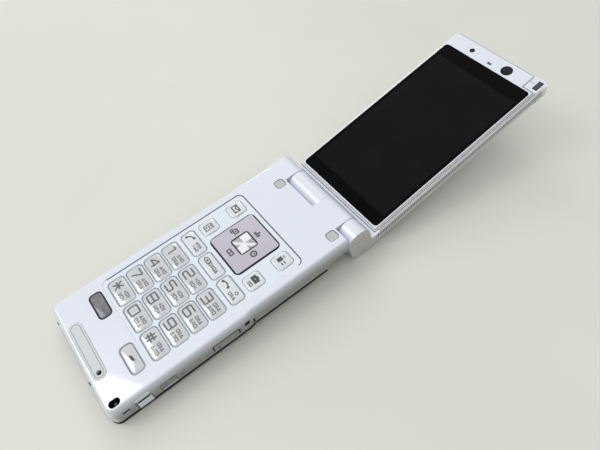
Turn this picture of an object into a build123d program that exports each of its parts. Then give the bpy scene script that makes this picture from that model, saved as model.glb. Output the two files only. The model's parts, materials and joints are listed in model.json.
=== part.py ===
from build123d import *
import os

# Keypad phone, millimetres. X runs to the right, Y towards the hinge, Z up out of the keypad.
# The origin lies on the flat underside of the base, below the middle of its length and width.
# The lid is drawn in its own axes, with the hinge axis as its origin, and is then turned to its open stop.

# Base casing
BASE_WIDTH = 50.0
BASE_LENGTH = 111.5
BASE_THICK = 10.6
CORNER_R = 3.0
EDGE_R = 1.2
SIDE_WALL = 1.6
TOP_WALL = 1.2
FLOOR = 1.0
SEAM_Z = 6.3
NOSE_LEAN = 1.5
JOG = 0.5
JOG_RUN = 2.6

# Lid hinge: ear and barrel widths along the axis, from the left
LEFT_EAR_WIDTH = 10.6
KNUCKLE_WIDTH = 13.9
RIGHT_BARREL_WIDTH = 7.4
SIDE_GAP = 0.2
BARREL_R = 5.2
SLOT_GAP = 0.25
HINGE_PIN_R = 1.5
HINGE_PIN_REACH = 4.0
CLICK_UNIT_R = 3.2
RUNNING_GAP = 0.05
SEAT_GAP = 0.02
BLIND_GAP = 0.2
OPEN_ANGLE = 169.6

# Lid
LID_GAP = 0.5
LID_THICK = 5.3
LID_SETBACK = 2.0
STRIP_REACH = 8.6
HEEL_R = 4.2
LID_EDGE_R = 1.0
LID_CORNER_R = 2.2
BAR_WIDTH = 1.8
BAR_SEAM = 0.3
BAR_BACK_STEP = 0.1
POST_WIDTH = 3.2
POST_LENGTH = 7.3
CAP_WIDTH = 2.3
CAP_MARGIN = 1.2
CAP_DEPTH = 2.6
CAP_GAP = 0.1
FAR_CORNER_R = 2.6
SIDE_AXIS_INSET = 1.0
SIDE_AXIS_DEPTH = 1.0
SIDE_PIN_R = 0.5
SIDE_PIN_REACH = 1.8
LUG_R = 0.9
LUG_LENGTH = 3.2
LUG_GAP = 0.2
BEZEL_DEPTH = 2.6
LID_WALL = 1.0

# Display and the pieces in the lid's top edge
WINDOW_THICK = 0.8
WINDOW_R = 1.6
WINDOW_GAP = 0.05
LEFT_MARGIN = 0.95
RIGHT_MARGIN = 0.55
LOWER_MARGIN = 0.7
TOP_BAND = 8.4
PANEL_SIDE = 1.1
PANEL_THICK = 1.65
PANEL_GAP = 0.2
PANEL_FROM_BOTTOM = 3.8
PANEL_FROM_TOP = 5.5
LID_BOARD_THICK = 0.6
CAMERA_FROM_NOTCH = 10.4
CAMERA_R = 2.5
CAMERA_BODY = 6.0
EARPIECE_FROM_CAMERA = 8.4
EARPIECE_SLOT = 2.4
EARPIECE_SLOT_HEIGHT = 1.2
EARPIECE_LENGTH = 9.0
EARPIECE_HEIGHT = 5.0
EARPIECE_THICK = 2.0
SENSOR_FROM_EARPIECE = 10.8
SENSOR_R = 1.1
SENSOR_BODY = 3.2
DEVICE_FROM_TOP = 4.95
DEVICE_GAP = 0.1
POCKET_WALL = 0.4

# Keypad
PLATE_INSET = 4.3
PLATE_FROM_FRONT = 20.4
PLATE_FROM_AXIS = 23.52
COLUMN_GAP = 1.3
ROW_GAP = 1.21
CALL_GAP = 2.38
CALL_LESS = 0.9
NAV_GAP = 12.1
FUNCTION_HEIGHT = 7.0
FUNCTION_STEP = 6.37
FUNCTION_MARGIN = 1.95
LOWER_WIDTH = 11.3
LOWER_HEIGHT = 4.7
LOWER_INSET = 12.2
LOWER_FROM_FRONT = 16.15
KEY_R = 1.4
KEY_BEVEL = 0.6
KEY_EDGE = 0.35
KEY_PROUD = 0.4
KEY_CROWN_R = 16.0
KEY_BOW_R = 60.0
KEY_GAP = 0.15
KEY_TRAVEL = 0.35
FLANGE = 0.45
FLANGE_THICK = 0.4
FLANGE_GAP = 0.05
STEM_R = 1.2
STEM_GAP = 0.05
KEY_ROOM = 2.6
DOME_THICK = 0.2
BOARD_THICK = 0.8
PLATE_MARGIN = 1.25
PLATE_BACK_MARGIN = 1.95
PLATE_SIDE_MARGIN = 1.85
PLATE_R = 2.0
PLATE_GAP = 0.5
PLATE_SUNK = 0.15
RIM_OUT = 1.2
RIM_IN = 0.6
RIM_THICK = 0.6

# Navigation pad
RING_SIZE = 19.6
RING_SIDE_ROOM = 2.45
RING_R = 1.8
RING_GAP = 0.4
RING_FLANGE = 0.6
RING_DROP = 0.5
RING_FACET = 0.2
SELECT_WIDTH = 7.6
SELECT_HEIGHT = 7.4
SELECT_R = 0.9
SELECT_GAP = 0.3
SELECT_FLANGE = 1.0
SELECT_DROP = 1.25
FACET_RISE = 0.1
FACET_TIP = 0.5
ACTUATOR_INSET = 1.8
ACTUATOR_GAP = 0.6
ACTUATOR_THICK = 0.4
ACTUATOR_DROP = 1.4
NUB_R = 0.8
NUB_HEIGHT = 0.4

# Soft pads and the strap hole
BUMPER_SIZE = 4.2
BUMPER_R = 1.2
BUMPER_DEPTH = 0.7
BUMPER_SUNK = 0.15
BUMPER_GAP = 0.1
BUMPER_FROM_AXIS = 8.4
BUMPER_FROM_LEFT = 10.85
BUMPER_FROM_RIGHT = 5.9
PAD_LENGTH = 25.0
PAD_HEIGHT = 4.8
PAD_DEPTH = 0.6
PAD_PROUD = 0.15
PAD_FROM_FRONT = 5.1
PAD_GAP = 0.1
MIC_FROM_PAD_END = 2.5
MIC_HOLE_R = 0.95
MIC_R = 2.0
MIC_THICK = 2.0
STRAP_INSET = 2.55
STRAP_FROM_FRONT = 4.8
STRAP_WIDTH = 2.7
STRAP_LENGTH = 4.1
STRAP_DEPTH = 6.4
STRAP_EXIT = 1.8
STRAP_EXIT_SHIFT = 1.0
STRAP_POST_R = 0.55
STRAP_POST_DROP = 1.0
STRAP_BOSS = 5.2
STRAP_BOSS_BACK = 3.6

# Right wall: key, connector cover and terminals
SIDE_PORT_Z = 1.7
SIDE_PORT_HEIGHT = 4.0
SIDE_KEY_LENGTH = 5.4
SIDE_KEY_FROM_FRONT = 12.3
SIDE_KEY_PROUD = 0.6
SIDE_KEY_FLANGE = 0.5
SIDE_KEY_EDGE = 0.3
SIDE_KEY_SLOPE = 14.0
COVER_FLAP_LENGTH = 11.5
COVER_FLAP_FROM_FRONT = 45.25
FLAP_THICK = 0.7
FLAP_INSET = 0.05
FLAP_GAP = 0.2
SOCKET_LENGTH = 9.0
SOCKET_HEIGHT = 2.8
SOCKET_DEPTH = 6.2
SOCKET_MOUTH_LENGTH = 7.5
SOCKET_MOUTH_HEIGHT = 1.6
SOCKET_MOUTH_DEPTH = 4.0
TERMINAL_FROM_FRONT = 21.75
TERMINAL_WIDTH = 1.8
TERMINAL_HEIGHT = 3.0
TERMINAL_STEP = 3.2
TERMINAL_THICK = 0.6
TERMINAL_SUNK = 0.35
TERMINAL_MARGIN = 0.5
LAMP_FROM_FRONT = 54.1
LAMP_R = 0.6
LAMP_DROP = 0.9

# Battery and the pieces on the floor of the base
COVER_FROM_FRONT = 57.05
COVER_FROM_AXIS = 15.45
COVER_THICK = 1.0
COVER_LIP = 2.2
COVER_GAP = 0.1
RAISED_Z = 3.6
RAISED_GAP = 1.2
BAY_SIDE = 6.5
BAY_MARGIN = 2.0
BAY_WALL = 1.0
BAY_ROOF = 0.7
BATTERY_GAP = 0.12
CONTACT_WIDTH = 1.2
CONTACT_REACH = 0.9
CONTACT_STEP = 4.0
CONTACT_HEIGHT = 1.8
BOARD_GAP = 0.1
BOARD_FROM_FRONT = 9.6
SPEAKER_FROM_LEFT = 11.0
SPEAKER_FROM_FRONT = 13.3
SPEAKER_LENGTH = 12.0
SPEAKER_HEIGHT = 8.0
SPEAKER_THICK = 2.4
SPEAKER_R = 2.0
GRILLE_SLOT = 6.0
GRILLE_WIDTH = 0.8
GRILLE_STEP = 1.6
GRILLE_COUNT = 3
MOTOR_FROM_RIGHT = 9.0
MOTOR_R = 2.0
MOTOR_LENGTH = 10.0
MOTOR_FROM_FRONT = 25.5
MOTOR_GAP = 0.05
ANTENNA_LENGTH = 28.0
ANTENNA_THICK = 0.4
ANTENNA_HEIGHT = 4.0
REAR_CAMERA_R = 2.2
REAR_CAMERA_BODY = 5.3
REAR_CAMERA_HEIGHT = 1.5
SCREW_R = 0.8
SCREW_HEAD_R = 1.5
SCREW_HEAD = 0.8
SCREW_SINK = 1.0
SCREW_GAP = 0.05
SCREW_TIP_GAP = 0.6
BOSS_R = 2.2
FRONT_SCREW_INSET = 6.5
FRONT_SCREW_FROM_FRONT = 6.25
REAR_SCREW_INSET = 4.8
REAR_SCREW_FROM_AXIS = 9.95

# Places that follow from the sizes above
LEFT_X = -BASE_WIDTH / 2
RIGHT_X = BASE_WIDTH / 2
FRONT_Y = -BASE_LENGTH / 2
HINGE_R = BASE_THICK / 2
AXIS_Y = BASE_LENGTH / 2 - HINGE_R
AXIS_Z = HINGE_R
SLOT_Y = AXIS_Y - BARREL_R - SLOT_GAP
PLATE_UNDER = BASE_THICK - TOP_WALL
DOME_TOP = PLATE_UNDER - KEY_ROOM
BOARD_TOP = DOME_TOP - DOME_THICK
BOARD_Z = BOARD_TOP - BOARD_THICK
BAY_TOP = BOARD_Z - BAY_ROOF

EAR_END = LEFT_X + LEFT_EAR_WIDTH
BARREL_START = EAR_END + SIDE_GAP
RIGHT_BARREL_START = RIGHT_X - RIGHT_BARREL_WIDTH
KNUCKLE_END = RIGHT_BARREL_START - SIDE_GAP
KNUCKLE_START = KNUCKLE_END - KNUCKLE_WIDTH
BARREL_END = KNUCKLE_START - SIDE_GAP
EAR_SPANS = [(LEFT_X, EAR_END), (KNUCKLE_START, KNUCKLE_END)]
BARREL_SPANS = [(BARREL_START, BARREL_END), (RIGHT_BARREL_START, RIGHT_X)]

PLATE_WIDTH = BASE_WIDTH - 2 * PLATE_INSET
PLATE_FRONT_Y = FRONT_Y + PLATE_FROM_FRONT
PLATE_BACK_Y = AXIS_Y - PLATE_FROM_AXIS
PLATE_LENGTH = PLATE_BACK_Y - PLATE_FRONT_Y
PLATE_Y = (PLATE_FRONT_Y + PLATE_BACK_Y) / 2
KEY_WIDTH = (PLATE_WIDTH - 2 * PLATE_SIDE_MARGIN - 2 * COLUMN_GAP) / 3
KEY_PITCH_X = KEY_WIDTH + COLUMN_GAP
FUNCTION_WIDTH = (PLATE_WIDTH - RING_SIZE) / 2 - RING_SIDE_ROOM - FUNCTION_MARGIN
FUNCTION_X = PLATE_WIDTH / 2 - FUNCTION_MARGIN - FUNCTION_WIDTH / 2
NAV_Y = PLATE_BACK_Y - PLATE_BACK_MARGIN - FUNCTION_HEIGHT / 2 - FUNCTION_STEP
CALL_BACK_Y = NAV_Y - NAV_GAP
ROWS_LENGTH = CALL_BACK_Y - PLATE_FRONT_Y - PLATE_MARGIN - 3 * ROW_GAP - CALL_GAP
KEY_HEIGHT = (ROWS_LENGTH + CALL_LESS) / 5
CALL_HEIGHT = KEY_HEIGHT - CALL_LESS
CALL_Y = CALL_BACK_Y - CALL_HEIGHT / 2
KEY_PITCH_Y = KEY_HEIGHT + ROW_GAP
STAR_Y = PLATE_FRONT_Y + PLATE_MARGIN + KEY_HEIGHT / 2
LOWER_X = RIGHT_X - LOWER_INSET
LOWER_Y = FRONT_Y + LOWER_FROM_FRONT
PAD_Y = FRONT_Y + PAD_FROM_FRONT
MIC_X = PAD_LENGTH / 2 - MIC_FROM_PAD_END

COVER_BACK_Y = AXIS_Y - COVER_FROM_AXIS
COVER_FRONT_Y = FRONT_Y + COVER_FROM_FRONT
RAISED_Y = COVER_BACK_Y + RAISED_GAP
REAR_CAMERA_Y = (RAISED_Y + SLOT_Y) / 2
JOG_Y = COVER_FRONT_Y - COVER_GAP
REAR_RIGHT_X = RIGHT_X - JOG
BAY_WIDTH = BASE_WIDTH - 2 * BAY_SIDE
BOARD_WIDTH = BAY_WIDTH - 2 * BOARD_GAP
BAY_FRONT_Y = COVER_FRONT_Y + BAY_MARGIN
BAY_BACK_Y = COVER_BACK_Y - BAY_MARGIN
SPEAKER_X = LEFT_X + SPEAKER_FROM_LEFT
MOTOR_X = RIGHT_X - MOTOR_FROM_RIGHT
STRAP_X = RIGHT_X - STRAP_INSET
STRAP_Y = FRONT_Y + STRAP_FROM_FRONT
STRAP_FLOOR = BASE_THICK - STRAP_DEPTH

LID_FRONT = -(BASE_THICK - AXIS_Z + LID_GAP)
LID_BACK = LID_FRONT - LID_THICK
LID_END = AXIS_Y - FRONT_Y - LID_SETBACK
BEZEL_SEAM = LID_FRONT - BEZEL_DEPTH
BAR_U = RIGHT_X - BAR_WIDTH
DISPLAY_U = BAR_U - BAR_SEAM
DISPLAY_V = STRIP_REACH + LUG_GAP
POST_U = BAR_U - CAP_WIDTH - POST_WIDTH
POST_V = LID_END - POST_LENGTH
NOTCH_U = POST_U - BAR_SEAM
NOTCH_V = POST_V - BAR_SEAM
SIDE_U = RIGHT_X - SIDE_AXIS_INSET
SIDE_W = LID_BACK + SIDE_AXIS_DEPTH
LUG_STARTS = [DISPLAY_V + LUG_GAP, NOTCH_V - LUG_GAP - LUG_LENGTH]
WINDOW_U0 = LEFT_X + LEFT_MARGIN
WINDOW_WIDTH = DISPLAY_U - RIGHT_MARGIN - WINDOW_U0
WINDOW_U = WINDOW_U0 + WINDOW_WIDTH / 2
WINDOW_V0 = DISPLAY_V + LOWER_MARGIN
WINDOW_LENGTH = LID_END - TOP_BAND - WINDOW_V0
WINDOW_V = WINDOW_V0 + WINDOW_LENGTH / 2
PANEL_WIDTH = WINDOW_WIDTH - 2 * PANEL_SIDE
PANEL_LENGTH = WINDOW_LENGTH - PANEL_FROM_BOTTOM - PANEL_FROM_TOP
PANEL_V = WINDOW_V0 + PANEL_FROM_BOTTOM + PANEL_LENGTH / 2
WINDOW_BACK = LID_FRONT - WINDOW_GAP - WINDOW_THICK
PANEL_TOP = WINDOW_BACK - WINDOW_GAP
CAMERA_U = NOTCH_U - CAMERA_FROM_NOTCH
EARPIECE_U = CAMERA_U - EARPIECE_FROM_CAMERA
SENSOR_U = EARPIECE_U - SENSOR_FROM_EARPIECE
DEVICE_V = LID_END - DEVICE_FROM_TOP
DEVICE_TOP = LID_FRONT - LID_WALL
LID_INNER_FLOOR = LID_BACK + LID_WALL
LID_POSE = Pos(0, AXIS_Y, AXIS_Z) * Rot(180 - OPEN_ANGLE, 0, 0)

# Key names and places: the number rows, the call row and the keys beside the navigation pad
NUMBER_ROWS = [["key_star", "key_0", "key_hash"], ["key_7", "key_8", "key_9"],
               ["key_4", "key_5", "key_6"], ["key_1", "key_2", "key_3"]]
CALL_ROW = ["call_key", "clear_key", "end_key"]
FUNCTION_KEYS = {"function_key_upper_left": (-1, 1), "function_key_upper_right": (1, 1),
                 "function_key_lower_left": (-1, -1), "function_key_lower_right": (1, -1)}
LOWER_KEYS = {"lower_left_key": -1, "lower_right_key": 1}


def block(x0, x1, y0, y1, z0, z1):
    """Box between two corners."""
    return Pos((x0 + x1) / 2, (y0 + y1) / 2, (z0 + z1) / 2) * Box(x1 - x0, y1 - y0, z1 - z0)


def slab(x, y, width, length, radius, z0, z1):
    """Upright prism on a rounded rectangle."""
    return extrude(Pos(x, y, z0) * RectangleRounded(width, length, radius), z1 - z0)


def rod_x(x0, x1, y, z, radius):
    return Pos((x0 + x1) / 2, y, z) * Rot(0, 90, 0) * Cylinder(radius, x1 - x0)


def rod_y(x, y0, y1, z, radius):
    return Pos(x, (y0 + y1) / 2, z) * Rot(90, 0, 0) * Cylinder(radius, y1 - y0)


def rod_z(x, y, z0, z1, radius):
    return Pos(x, y, (z0 + z1) / 2) * Cylinder(radius, z1 - z0)


def plate_keys():
    """Every key that comes through the keypad plate: name, centre and size."""
    keys = []
    for row, names in enumerate(NUMBER_ROWS):
        for column, name in enumerate(names):
            x = (column - 1) * KEY_PITCH_X
            keys.append((name, x, STAR_Y + row * KEY_PITCH_Y, KEY_WIDTH, KEY_HEIGHT))
    for column, name in enumerate(CALL_ROW):
        keys.append((name, (column - 1) * KEY_PITCH_X, CALL_Y, KEY_WIDTH, CALL_HEIGHT))
    for name, (side, end) in FUNCTION_KEYS.items():
        y = NAV_Y + end * FUNCTION_STEP
        keys.append((name, side * FUNCTION_X, y, FUNCTION_WIDTH, FUNCTION_HEIGHT))
    return keys


def lower_keys():
    """The two keys that come through the top cover itself."""
    return [(name, side * LOWER_X, LOWER_Y, LOWER_WIDTH, LOWER_HEIGHT) for name, side in LOWER_KEYS.items()]


def key_opening(x, y, width, height):
    return slab(x, y, width + 2 * KEY_GAP, height + 2 * KEY_GAP, KEY_R + KEY_GAP, 0, 2 * BASE_THICK)


def key(x, y, width, height):
    """Key cap with a pillow top, the flange that keeps it under the plate, and the stem over its dome."""
    flange_top = PLATE_UNDER - FLANGE_GAP
    flange_low = flange_top - FLANGE_THICK
    top = BASE_THICK + KEY_PROUD
    cap = slab(x, y, width, height, KEY_R, flange_low, top)
    cap &= Pos(x, y, top - KEY_BOW_R) * Rot(90, 0, 0) * Torus(KEY_BOW_R - KEY_CROWN_R, KEY_CROWN_R)
    cap = fillet(cap.faces().sort_by(Axis.Z)[-1].edges(), KEY_BEVEL)
    flange = slab(x, y, width + 2 * FLANGE, height + 2 * FLANGE, KEY_R + FLANGE, flange_low, flange_top)
    stem = rod_z(x, y, DOME_TOP + KEY_TRAVEL + STEM_GAP, flange_low, STEM_R)
    return cap + flange + stem


def base_plan(inset=0.0, lean=0.0):
    """Outline of the base up to the hinge slots: the right wall steps in behind the port stretch."""
    front = FRONT_Y + inset + lean
    back = SLOT_Y - inset
    left = LEFT_X + inset
    right = RIGHT_X - inset
    rear_right = REAR_RIGHT_X - inset
    corners = [(left, front), (right, front), (right, JOG_Y - JOG_RUN), (rear_right, JOG_Y),
               (rear_right, back), (left, back)]
    face = make_face(Polyline(*corners, close=True))
    return fillet(face.vertices().group_by(Axis.Y)[0], CORNER_R - inset)


def upper_casing(inset, top):
    """Upper half of the casing from the seam up: its front end leans back."""
    lean = NOSE_LEAN * (top - SEAM_Z) / (BASE_THICK - SEAM_Z)
    return loft([Pos(0, 0, SEAM_Z) * base_plan(inset), Pos(0, 0, top) * base_plan(inset, lean)], ruled=True)


def screw_places():
    """Screw centres with the height of the underside at each."""
    front_y = FRONT_Y + FRONT_SCREW_FROM_FRONT
    rear_y = AXIS_Y - REAR_SCREW_FROM_AXIS
    front = [(side * (RIGHT_X - FRONT_SCREW_INSET), front_y, 0.0) for side in (-1, 1)]
    rear = [(side * (RIGHT_X - REAR_SCREW_INSET), rear_y, RAISED_Z) for side in (-1, 1)]
    return front + rear


def bumper_places():
    y = AXIS_Y - BUMPER_FROM_AXIS
    return [(LEFT_X + BUMPER_FROM_LEFT, y), (RIGHT_X - BUMPER_FROM_RIGHT, y)]


def strap_boss(casing, z0, z1):
    """Solid corner that the strap hole is cut in."""
    return casing & block(RIGHT_X - STRAP_BOSS, RIGHT_X, FRONT_Y, STRAP_Y + STRAP_BOSS_BACK, z0, z1)


def strap_hole():
    shaft = slab(STRAP_X, STRAP_Y, STRAP_WIDTH, STRAP_LENGTH, STRAP_WIDTH / 2 - SEAT_GAP,
                 STRAP_FLOOR, BASE_THICK + 1)
    half = STRAP_WIDTH / 2
    exit_y = STRAP_Y + STRAP_EXIT_SHIFT
    exit_slot = block(STRAP_X, RIGHT_X + 1, exit_y - half, exit_y + half,
                      STRAP_FLOOR, STRAP_FLOOR + STRAP_EXIT)
    return shaft + exit_slot


def outer_edges(solid, end):
    """Edges round the top (end -1) or bottom (end 0) face, leaving out the straight edge at the hinge."""
    edges = solid.faces().sort_by(Axis.Z)[end].edges()
    return edges.filter_by(lambda edge: edge.center().Y < SLOT_Y - SEAT_GAP)


def base_top_cover():
    cover = upper_casing(0.0, BASE_THICK)
    cover = fillet(outer_edges(cover, -1), EDGE_R)
    cover -= upper_casing(SIDE_WALL, PLATE_UNDER)
    for x0, x1 in EAR_SPANS:
        cover += rod_x(x0, x1, AXIS_Y, AXIS_Z, HINGE_R)
        cover += block(x0, x1, SLOT_Y - SIDE_WALL, AXIS_Y, SEAM_Z, BASE_THICK)
    for x, y, underside in screw_places():
        cover += rod_z(x, y, SEAM_Z, PLATE_UNDER, BOSS_R)
        cover -= rod_z(x, y, SEAM_Z, PLATE_UNDER - SCREW_TIP_GAP, SCREW_R + SCREW_GAP)
    cover += strap_boss(upper_casing(0.0, PLATE_UNDER), SEAM_Z, PLATE_UNDER)
    cover -= strap_hole()
    opening = 2 * PLATE_GAP
    cover -= slab(0, PLATE_Y, PLATE_WIDTH + opening, PLATE_LENGTH + opening, PLATE_R + PLATE_GAP,
                  SEAM_Z, BASE_THICK + 1)
    for name, x, y, width, height in lower_keys():
        cover -= key_opening(x, y, width, height)
    for x, y in bumper_places():
        seat = BUMPER_SIZE + 2 * BUMPER_GAP
        cover -= slab(x, y, seat, seat, BUMPER_R + BUMPER_GAP, BASE_THICK - BUMPER_DEPTH, BASE_THICK + 1)
    cover -= slab(0, PAD_Y, PAD_LENGTH + 2 * PAD_GAP, PAD_HEIGHT + 2 * PAD_GAP, PAD_HEIGHT / 2,
                  BASE_THICK - PAD_DEPTH, BASE_THICK + 1)
    cover -= rod_z(MIC_X, PAD_Y, PLATE_UNDER - 1, BASE_THICK, MIC_HOLE_R)
    pin_start = EAR_END - HINGE_PIN_REACH - BLIND_GAP
    cover -= rod_x(pin_start, EAR_END, AXIS_Y, AXIS_Z, HINGE_PIN_R + SEAT_GAP)
    cover -= rod_x(KNUCKLE_START, KNUCKLE_END, AXIS_Y, AXIS_Z, CLICK_UNIT_R + SEAT_GAP)
    return cover


def side_window(from_front, length, x0, x1, grow=0.0):
    """Block through the right wall at one of its ports."""
    y = FRONT_Y + from_front
    half = length / 2 + grow
    return block(x0, x1, y - half, y + half, SIDE_PORT_Z - grow, SIDE_PORT_Z + SIDE_PORT_HEIGHT + grow)


def socket_box(length, height, x0, x1, grow=0.0):
    """Block centred behind the connector cover."""
    y = FRONT_Y + COVER_FLAP_FROM_FRONT
    z = SIDE_PORT_Z + SIDE_PORT_HEIGHT / 2
    half_y = length / 2 + grow
    half_z = height / 2 + grow
    return block(x0, x1, y - half_y, y + half_y, z - half_z, z + half_z)


def terminal_places():
    y = FRONT_Y + TERMINAL_FROM_FRONT
    return [y - TERMINAL_STEP / 2, y + TERMINAL_STEP / 2]


def terminal(y, grow=0.0):
    z = SIDE_PORT_Z + SIDE_PORT_HEIGHT / 2
    half_y = TERMINAL_WIDTH / 2 + grow
    half_z = TERMINAL_HEIGHT / 2 + grow
    outside = RIGHT_X - TERMINAL_SUNK
    return block(outside - TERMINAL_THICK, outside, y - half_y, y + half_y, z - half_z, z + half_z)


def terminal_recess():
    front, back = terminal_places()
    z = SIDE_PORT_Z + SIDE_PORT_HEIGHT / 2
    reach = TERMINAL_WIDTH / 2 + TERMINAL_MARGIN
    half_z = TERMINAL_HEIGHT / 2 + TERMINAL_MARGIN
    return block(RIGHT_X - TERMINAL_SUNK, RIGHT_X, front - reach, back + reach, z - half_z, z + half_z)


def base_bottom_cover():
    cover = extrude(base_plan(), SEAM_Z)
    cover = fillet(outer_edges(cover, 0), EDGE_R)
    inner = extrude(base_plan(SIDE_WALL), SEAM_Z)
    front_end = COVER_FRONT_Y - SIDE_WALL
    cover -= inner & block(LEFT_X, RIGHT_X, FRONT_Y, front_end, FLOOR, SEAM_Z)
    shelf_z = COVER_LIP + COVER_GAP + FLOOR
    bay_half = BAY_WIDTH / 2
    pockets = [(LEFT_X + SIDE_WALL, -bay_half - BAY_WALL), (bay_half + BAY_WALL, REAR_RIGHT_X - SIDE_WALL)]
    for x0, x1 in pockets:
        cover -= block(x0, x1, BAY_FRONT_Y, BAY_BACK_Y, shelf_z, SEAM_Z)
    cover -= block(-bay_half - BAY_WALL, bay_half + BAY_WALL, front_end, BAY_BACK_Y + BAY_WALL,
                   BOARD_Z, SEAM_Z)
    cover -= block(-bay_half, bay_half, BAY_FRONT_Y, BAY_BACK_Y, 0, BAY_TOP)
    cover -= block(LEFT_X, RIGHT_X, COVER_FRONT_Y - COVER_GAP, RAISED_Y, 0, COVER_LIP + COVER_GAP)
    cover -= block(LEFT_X, RIGHT_X, RAISED_Y, SLOT_Y, 0, RAISED_Z)
    cover -= block(LEFT_X + SIDE_WALL, REAR_RIGHT_X - SIDE_WALL, RAISED_Y + SIDE_WALL, SLOT_Y - SIDE_WALL,
                   RAISED_Z + FLOOR, SEAM_Z)
    for x, y, underside in screw_places():
        cover += rod_z(x, y, underside + FLOOR, SEAM_Z, BOSS_R)
        cover -= rod_z(x, y, underside, SEAM_Z, SCREW_R + SCREW_GAP)
        cover -= rod_z(x, y, underside, underside + SCREW_SINK, SCREW_HEAD_R + SCREW_GAP)
    cover += strap_boss(extrude(base_plan(), SEAM_Z), FLOOR, SEAM_Z)
    cover -= strap_hole()
    wall_inside = RIGHT_X - SIDE_WALL
    cover -= side_window(SIDE_KEY_FROM_FRONT, SIDE_KEY_LENGTH, wall_inside, RIGHT_X, KEY_GAP)
    recess = RIGHT_X - FLAP_INSET - FLAP_THICK - FLAP_INSET
    cover -= side_window(COVER_FLAP_FROM_FRONT, COVER_FLAP_LENGTH, recess, RIGHT_X, FLAP_GAP)
    cover -= socket_box(SOCKET_LENGTH, SOCKET_HEIGHT, wall_inside, RIGHT_X)
    cover -= terminal_recess()
    for y in terminal_places():
        cover -= terminal(y, SEAT_GAP)
    lamp_z = SEAM_Z - LAMP_DROP
    cover -= rod_x(wall_inside, RIGHT_X, FRONT_Y + LAMP_FROM_FRONT, lamp_z, LAMP_R)
    for index in range(GRILLE_COUNT):
        y = FRONT_Y + SPEAKER_FROM_FRONT + (index - (GRILLE_COUNT - 1) / 2) * GRILLE_STEP
        cover -= slab(SPEAKER_X, y, GRILLE_SLOT, GRILLE_WIDTH, GRILLE_WIDTH / 2 - SEAT_GAP, 0, FLOOR)
    cover -= rod_z(0, REAR_CAMERA_Y, RAISED_Z, RAISED_Z + FLOOR, REAR_CAMERA_R + SEAT_GAP)
    return cover


def battery_cover():
    outside = extrude(base_plan(), COVER_LIP)
    outside = fillet(outer_edges(outside, 0), EDGE_R)
    cover = outside & block(LEFT_X, RIGHT_X, COVER_FRONT_Y, COVER_BACK_Y, 0, COVER_LIP)
    return cover - block(LEFT_X + SIDE_WALL, REAR_RIGHT_X - SIDE_WALL, COVER_FRONT_Y, COVER_BACK_Y,
                         COVER_THICK, COVER_LIP)


def battery_pack():
    half = BAY_WIDTH / 2 - BATTERY_GAP
    front = BAY_FRONT_Y + CONTACT_REACH + BATTERY_GAP
    pack = block(-half, half, front, BAY_BACK_Y - BATTERY_GAP,
                 COVER_THICK + BATTERY_GAP, BAY_TOP - BATTERY_GAP)
    return fillet(pack.edges().filter_by(Axis.Z), LID_EDGE_R)


def battery_contacts():
    middle = (COVER_LIP + BAY_TOP) / 2
    contacts = Part()
    for index in (-1, 0, 1):
        x = index * CONTACT_STEP
        contacts += block(x - CONTACT_WIDTH / 2, x + CONTACT_WIDTH / 2,
                          BAY_FRONT_Y, BAY_FRONT_Y + CONTACT_REACH,
                          middle - CONTACT_HEIGHT / 2, middle + CONTACT_HEIGHT / 2)
    return contacts


def keypad_plate():
    plate = slab(0, PLATE_Y, PLATE_WIDTH, PLATE_LENGTH, PLATE_R, PLATE_UNDER, BASE_THICK - PLATE_SUNK)
    rim = slab(0, PLATE_Y, PLATE_WIDTH + 2 * RIM_OUT, PLATE_LENGTH + 2 * RIM_OUT, PLATE_R + RIM_OUT,
               PLATE_UNDER - RIM_THICK, PLATE_UNDER)
    rim -= slab(0, PLATE_Y, PLATE_WIDTH - 2 * RIM_IN, PLATE_LENGTH - 2 * RIM_IN, PLATE_R,
                PLATE_UNDER - RIM_THICK, PLATE_UNDER)
    plate += rim
    for name, x, y, width, height in plate_keys():
        plate -= key_opening(x, y, width, height)
    ring_opening = RING_SIZE + 2 * RING_GAP
    return plate - slab(0, NAV_Y, ring_opening, ring_opening, RING_R + RING_GAP, 0, 2 * BASE_THICK)


def faceted_top(width, height, radius, tip_width, tip_height, z0, z1):
    """Four shallow facets that rise from a rounded outline to a smaller rectangle."""
    facets = loft([Pos(0, NAV_Y, z0) * Rectangle(width, height),
                   Pos(0, NAV_Y, z1) * Rectangle(tip_width, tip_height)])
    return facets & slab(0, NAV_Y, width, height, radius, z0, z1)


def navigation_ring():
    flange_top = PLATE_UNDER - RING_DROP
    flange_low = flange_top - FLANGE_THICK
    top = BASE_THICK + KEY_PROUD
    facet_low = top - RING_FACET
    ring = slab(0, NAV_Y, RING_SIZE, RING_SIZE, RING_R, flange_low, facet_low)
    ring += faceted_top(RING_SIZE, RING_SIZE, RING_R, SELECT_WIDTH, SELECT_HEIGHT, facet_low, top)
    flange_size = RING_SIZE + 2 * RING_FLANGE
    ring += slab(0, NAV_Y, flange_size, flange_size, RING_R + RING_FLANGE, flange_low, flange_top)
    return ring - slab(0, NAV_Y, SELECT_WIDTH + 2 * SELECT_GAP, SELECT_HEIGHT + 2 * SELECT_GAP,
                       SELECT_R + SELECT_GAP, 0, 2 * BASE_THICK)


def navigation_actuator():
    """Square rocker under the ring, with a nub over each of its four domes."""
    top = PLATE_UNDER - ACTUATOR_DROP
    low = top - ACTUATOR_THICK
    size = RING_SIZE - 2 * ACTUATOR_INSET
    hole = SELECT_WIDTH + 2 * SELECT_FLANGE + 2 * ACTUATOR_GAP
    plate = slab(0, NAV_Y, size, size, RING_R, low, top)
    plate -= slab(0, NAV_Y, hole, hole, RING_R, low, top)
    offset = (size + hole) / 4
    for dx, dy in [(1, 0), (-1, 0), (0, 1), (0, -1)]:
        plate += rod_z(dx * offset, NAV_Y + dy * offset, low - NUB_HEIGHT, low, NUB_R)
    return plate


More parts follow.
